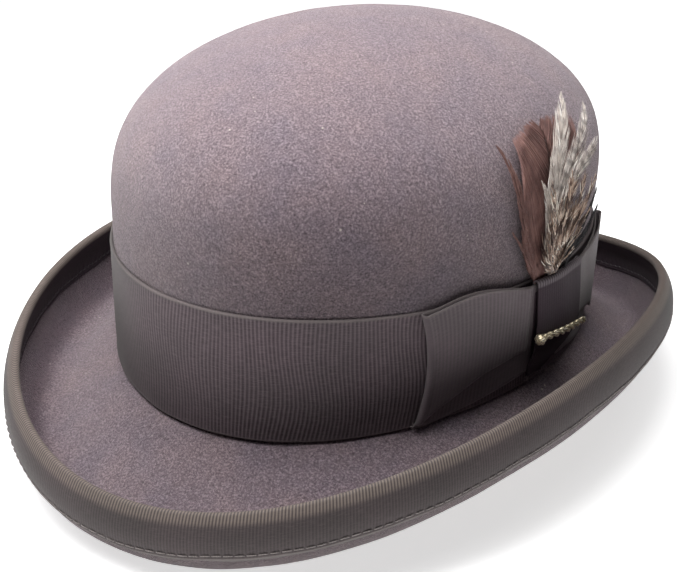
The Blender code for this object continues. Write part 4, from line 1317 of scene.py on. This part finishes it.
def build_grizzly_tall():
    """The pale feather that curls to the back, with three slim ones beside it."""
    tall = Plumes(13)
    tall.plume(
        [(-8.0, POCKET), (-10.4, 48), (-12.4, 58), (-13.6, 70), (-12.4, 80), (-7.8, 91), (-1.4, 99.5),
         (4.6, 104.5)],
        [2.55, 3.6, 4.4, 4.6, 4.6, 4.6, 4.6, 4.6], GRIZZLY_WIDTHS, **GRIZZLY_STYLE,
    )
    for angle, height in ((-16.0, 84), (-12.0, 90), (-7.0, 97)):
        tall.plume(
            [(-10.2, 48), (-12.2, 58), (mixed(-13.2, angle, 0.3), mixed(58, height, 0.55)), (angle, height)],
            [3.4, 4.6, 4.9, 4.8],
            [(0, 0.3, 0.3), (0.4, 1.4, 1.4), (0.75, 2.2, 2.2), (1, 0.3, 0.3)],
            quill=(0.2, 0.08), lean=10, spacing=0.45, barb=0.38, ragged=0.7, split=0.35, bare=0.16, fluff=0.2,
        )
    tall.finish("plume_grizzly_tall", GRIZZLY_LOOK, ["feather_grizzly_tall"])


def build_grizzly_short():
    """The barred feather in front of the tall one, and a fuller one at its foot."""
    short = Plumes(14)
    short.plume(
        [(-6.8, POCKET), (-10.2, 48), (-12.8, 59), (-12.8, 70), (-9.6, 80.5), (-3.0, 89), (3.2, 95),
         (8.4, 100)],
        [2.55, 4.0, 5.4, 5.9, 5.9, 5.9, 5.9, 5.9], GRIZZLY_WIDTHS, **GRIZZLY_STYLE,
    )
    short.plume(
        [(-9.6, 46), (-12.8, 58), (-12.4, 70), (-8.6, 80), (-3.2, 85.5), (4.5, 90)],
        [3.4, 6.0, 7.2, 7.8, 7.8, 7.8],
        [(0, 0.3, 0.3), (0.3, 2.0, 2.0), (0.7, 3.6, 3.6), (0.93, 2.2, 2.2), (1, 0.4, 0.4)],
        quill=(0.22, 0.08), lean=13, spacing=0.34, barb=0.42, ragged=0.7, split=0.25, bare=0.12, fluff=0.25,
    )
    short.finish("plume_grizzly_short", BARRED_LOOK, ["feather_grizzly_short"])


# (degrees, height) of the tips of the small mottled plumes.
MOTTLED_TIPS = (
    (-15.6, 85), (-13.0, 78), (-9.0, 86), (-4.5, 83), (-0.5, 80), (-3.5, 74), (-2.5, 69), (-8.0, 72),
    (-12.0, 70), (-5.5, 63), (-7.5, 57), (-15.2, 72), (-15.6, 62), (-6.5, 78), (-10.5, 81),
)


def build_mottled():
    """The bushy brown and cream feather in front: one long plume and a fan of small ones."""
    mottled = Plumes(15)
    mottled.plume(
        [(-5.2, POCKET), (-9.4, 46), (-12.0, 55), (-12.6, 65), (-10.6, 74), (-6.4, 83)],
        [2.55, 4.4, 6.6, 7.6, 7.8, 7.6],
        [(0, 0.3, 0.3), (0.36, 1.8, 1.8), (0.55, 4.2, 4.2), (0.8, 5.4, 5.2), (0.94, 3.0, 3.0), (1, 0.6, 0.6)],
        lean=16, spacing=0.5, barb=0.55, ragged=0.7, split=0.3, bare=0.3, fluff=0.5,
    )
    for number, (angle, height) in enumerate(MOTTLED_TIPS):
        low = mixed(47, height, 0.4)
        mottled.plume(
            [(-9.4 + 0.15 * number, 44), (mixed(-12.2, angle, 0.35), low),
             (mixed(-12.4, angle, 0.7), mixed(low, height, 0.55)), (angle, height)],
            [3.2, 6.4 + 0.1 * number, 7.9 + 0.06 * number, 8.3 + 0.06 * number],
            [(0, 0.3, 0.3), (0.35, 1.5, 1.5), (0.7, 2.3, 2.3), (1, 0.5, 0.5)],
            quill=(0.2, 0.1), lean=14, spacing=0.6, barb=0.58, ragged=0.7, split=0.35, bare=0.12, fluff=0.6,
        )
    mottled.finish("plume_mottled", MOTTLED_LOOK, ["feather_mottled"])


def build_black():
    """Two small black feathers at the back of the spray."""
    style = {"lean": 20, "spacing": 0.3, "barb": 0.42, "ragged": 0.25, "split": 0.2}
    black = Plumes(16)
    black.plume(
        [(-3.6, POCKET), (-6.4, 46), (-4.8, 51), (-1.8, 57), (1.8, 63.5), (5.4, 70.5)],
        [2.55, 3.4, 4.8, 5.0, 5.0, 5.0],
        [(0, 0.2, 0.2), (0.5, 1.2, 1.2), (0.75, 1.8, 1.8), (1, 0.5, 0.5)], bare=0.4, **style,
    )
    black.plume(
        [(-3.4, 40), (-5.6, 47.5), (-2.8, 52.5), (2.4, 57), (7.8, 63)],
        [3.0, 4.8, 5.0, 5.0, 5.0],
        [(0, 0.2, 0.2), (0.4, 1.3, 1.3), (0.75, 1.7, 1.7), (1, 0.5, 0.5)],
        quill=(0.25, 0.1), bare=0.25, **style,
    )
    black.finish("plume_black", BLACK_LOOK, ["feather_black"])


build_broad()
build_wisp()
build_grizzly_tall()
build_grizzly_short()
build_mottled()
build_black()


# ---------------------------------------------------------------- inside of the hat

LINING_OUT, LINING_THICK = -3.0, 0.4
SWEAT_OUT, SWEAT_THICK = -3.5, 1.0
SWEAT_ROWS = np.concatenate([[1.8, 2.1, 3.0], np.linspace(6, 54, 13), [56.5, 57.6, 58.0]])
SWEAT_SEAM = 3.4
LINING_SEAM = deg(50)
TIP_START = deg(53)


def build_sweatband():
    """A leather band with a rounded rim at its top and bottom, and a furrow along its stitches."""
    t = round_angles(260)
    face = [
        (h, SWEAT_OUT - SWEAT_THICK + 0.3 * (abs(h - 29.9) > 27.9) - 0.12 * bell(h - SWEAT_SEAM, 0.8))
        for h in SWEAT_ROWS
    ]
    rows = []
    for height, out in face + [(h, SWEAT_OUT) for h in SWEAT_ROWS[::-1]]:
        ripple = 0.16 * np.sin(6 * t + 0.1 * height) * smooth(4, 30, height) + 0.08 * np.sin(19 * t)
        rows.append(wall(t, height + break_rise(t) * (1 - smooth(0, 50, height)), out + ripple))
    grid_piece("sweatband_leather", rows, LEATHER_LOOK, ["sweatband"], wrap_rows=True)


def build_reed():
    """The round roll at the sweatband's lower edge."""
    t = round_angles(300)
    centre = break_rise(t) + 0.6
    rows = [wall(t, centre + 0.9 * np.sin(a), -3.4 + 0.9 * np.cos(a)) for a in round_angles(10)]
    grid_piece(
        "sweatband_reed_roll", rows, LEATHER_LOOK, ["sweatband_reed"], wrap_rows=True
    )


def build_sweatband_stitches():
    count = 190
    share = np.linspace(-0.5, 0.5, 6)
    lift = SWEAT_OUT - SWEAT_THICK - 0.32 * (1 - (2 * share) ** 4) + 0.1
    tubes = []
    for start in even_angles(count, -5.0)[0]:
        angle = start + share * TURN / count * 0.72
        tubes.append(tube(wall(angle, break_rise(angle) + SWEAT_SEAM, lift), 0.2, 5))
    join_tubes("sweatband_stitch_row", tubes, THREAD_LOOK, ["sweatband_stitches"])


def build_size_bow():
    """A flat ribbon bow: two loops and a little crossing band, over the sweatband's rear seam."""
    face = SWEAT_OUT - 1.9
    height = 9.0 - BREAK_RISE
    a, b = round_angles(48)[:, None], round_angles(8)[None]
    x, y = 7.6 * np.cos(a) + 0 * b, 1.595 * np.sin(2 * a) + 1.7 * np.cos(b)
    loops = wall(pi / 2 - x / HALF_WIDTH, height + y, face - 0.13 * np.sin(b) - 0.175 * np.sin(a) ** 2)
    loop_faces, loop_uv = grid_faces(48, 8, True, True)
    a, x = np.broadcast_arrays(round_angles(24)[:, None], np.linspace(-1.1, 1.1, 5)[None])
    knot = wall(pi / 2 - x / HALF_WIDTH, height + 2.5 * np.sin(a), face - 0.95 * np.cos(a))
    knot_faces, knot_uv = grid_faces(24, 5, True, False)
    mesh = mesh_from(
        "size_bow", np.concatenate([loops.reshape(-1, 3), knot.reshape(-1, 3)]),
        [loop_faces, knot_faces + 48 * 8], [[loop_uv, knot_uv]],
    )
    place_piece("size_bow", mesh, KNOT_LOOK, ["sweatband_bow"])


def build_side_lining(t):
    """A satin strip inside the wall, gathered at the seam above."""
    gathers = 0.22 * np.cos(t * 96) + 0.1 * np.sin(t * 31)

    def side(out):
        rows = []
        for h in np.concatenate([[5.0], np.linspace(12, DOME_START, 12)]):
            rows.append(wall(t, h + break_rise(t) * (1 - smooth(5, 50, h)), out))
        for angle in deg(np.array([5, 10, 16, 22, 28, 34, 40, 45, 48.5])):
            share = smooth(0.2, 0.8, angle)
            rows.append(dome(t, angle, out - 0.25 * share + gathers * share))
        return rows

    rows = side(LINING_OUT - LINING_THICK) + side(LINING_OUT)[::-1]
    grid_piece("lining_side_strip", rows, SATIN_LOOK, ["lining_side"], wrap_rows=True)


def build_piping(t):
    """A round cord on the seam between the side lining and the tip."""
    radius = 0.8
    rows = []
    for a in round_angles(12):
        up = np.array([0.0, 0.0, radius * np.sin(a)])
        rows.append(dome(t, LINING_SEAM, LINING_OUT - 1.3 + radius * np.cos(a)) + up)
    grid_piece("lining_piping_cord", rows, SATIN_LOOK, ["lining_piping"], wrap_rows=True)


def build_tip(t):
    """A smooth satin oval inside the top of the crown."""
    angles = deg(np.concatenate([np.linspace(53, 87, 16), [88.8]]))

    def side(out):
        return [dome(t, angle, out - 0.35 * np.sin((angle - TIP_START) * 5) ** 2) for angle in angles]

    rows = side(LINING_OUT)[::-1] + side(LINING_OUT - LINING_THICK)
    apexes = [apex_of(LINING_OUT), apex_of(LINING_OUT - LINING_THICK)]
    capped_piece("lining_tip_cap", rows, apexes, SATIN_LOOK, ["lining_tip"])


build_sweatband()
build_reed()
build_sweatband_stitches()
build_size_bow()
LINING_ANGLES = round_angles(400)
build_side_lining(LINING_ANGLES)
build_piping(LINING_ANGLES)
build_tip(LINING_ANGLES)

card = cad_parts["feather_card"]
card.data.materials.clear()
card.data.materials.append(CARD_LOOK)


# ---------------------------------------------------------------- floor, light and camera

FLOOR_HALF = 6.0

# Soft lamps close above the hat: azimuth from the front towards the wearer's left, elevation, watts.
LAMP_DISTANCE, LAMP_SIZE = 0.5, 0.4
LAMP_TARGET = Vector((0.0, 0.0, 0.08))
LAMPS = (
    ("key_low", -60.0, 45.0, 1.1),
    ("key_high", -45.0, 68.0, 1.9),
    ("top", 0.0, 90.0, 2.15),
    ("back_right", 120.0, 68.0, 0.65),
    ("front", -5.0, 60.0, 0.5),
)

CAMERA_AZIMUTH, CAMERA_ELEVATION, CAMERA_ROLL = 30.0, 23.942, 0.151
CAMERA_TARGET = Vector((-3.92, -2.26, 43.26))
CAMERA_DISTANCE = 600.0
FOCAL_LENGTH, SENSOR_WIDTH = 80.39, 36.0


def bearing(azimuth, elevation):
    azimuth, elevation = deg(azimuth), deg(elevation)
    flat = np.cos(elevation)
    return Vector((flat * np.sin(azimuth), -flat * np.cos(azimuth), np.sin(elevation)))


def build_floor():
    """A white floor that shines a little, and more further out, so that it fades to plain white."""
    mesh = bpy.data.meshes.new("floor")
    corners = [(x * FLOOR_HALF, y * FLOOR_HALF, 0) for x, y in ((-1, -1), (1, -1), (1, 1), (-1, 1))]
    mesh.from_pydata(corners, [], [(0, 1, 2, 3)])
    floor = add_object("floor", mesh)
    look = Look("floor_white", (0.88, 0.88, 0.88), 0.8)
    look.put(look.shader, "Emission Color", (1.0, 1.0, 1.0))
    where = look.place(MM)
    squares = [look.math("POWER", look.axis(where, k), 2.0) for k in (0, 1)]
    reach = look.math("SQRT", look.math("ADD", *squares))
    glow = look.math("MULTIPLY_ADD", look.level(reach, 0.15, 0.6), 0.2, 0.62)
    look.put(look.shader, "Emission Strength", glow)
    mesh.materials.append(look.material)


def build_lamp(name, azimuth, elevation, watts):
    data = bpy.data.lights.new(name, "AREA")
    data.shape = "DISK"
    data.size = LAMP_SIZE
    data.energy = watts
    made = add_object(name, data)
    made.location = LAMP_TARGET + bearing(azimuth, elevation) * LAMP_DISTANCE
    made.rotation_mode = "QUATERNION"
    made.rotation_quaternion = (LAMP_TARGET - made.location).to_track_quat("-Z", "Y")


def build_world():
    world = bpy.data.worlds.new("studio")
    bpy.context.scene.world = world
    world.use_nodes = True
    back = world.node_tree.nodes["Background"]
    back.inputs["Color"].default_value = (1.0, 1.0, 1.0, 1.0)
    back.inputs["Strength"].default_value = 0.02


def build_camera():
    data = bpy.data.cameras.new("camera")
    data.sensor_width = SENSOR_WIDTH
    data.lens = FOCAL_LENGTH
    data.clip_start, data.clip_end = 0.01, 50.0
    made = add_object("camera", data)
    back = bearing(CAMERA_AZIMUTH, CAMERA_ELEVATION)
    right = Vector((0, 0, 1)).cross(back).normalized()
    roll = deg(CAMERA_ROLL)
    turned = right * np.cos(roll) + back.cross(right) * np.sin(roll)
    place = (CAMERA_TARGET + back * CAMERA_DISTANCE) * MM
    axes = Matrix((turned, back.cross(turned), back)).transposed().to_4x4()
    made.matrix_world = Matrix.Translation(place) @ axes
    bpy.context.scene.camera = made


build_floor()
build_world()
for lamp in LAMPS:
    build_lamp(*lamp)
build_camera()
bpy.context.scene.view_settings.view_transform = "Standard"
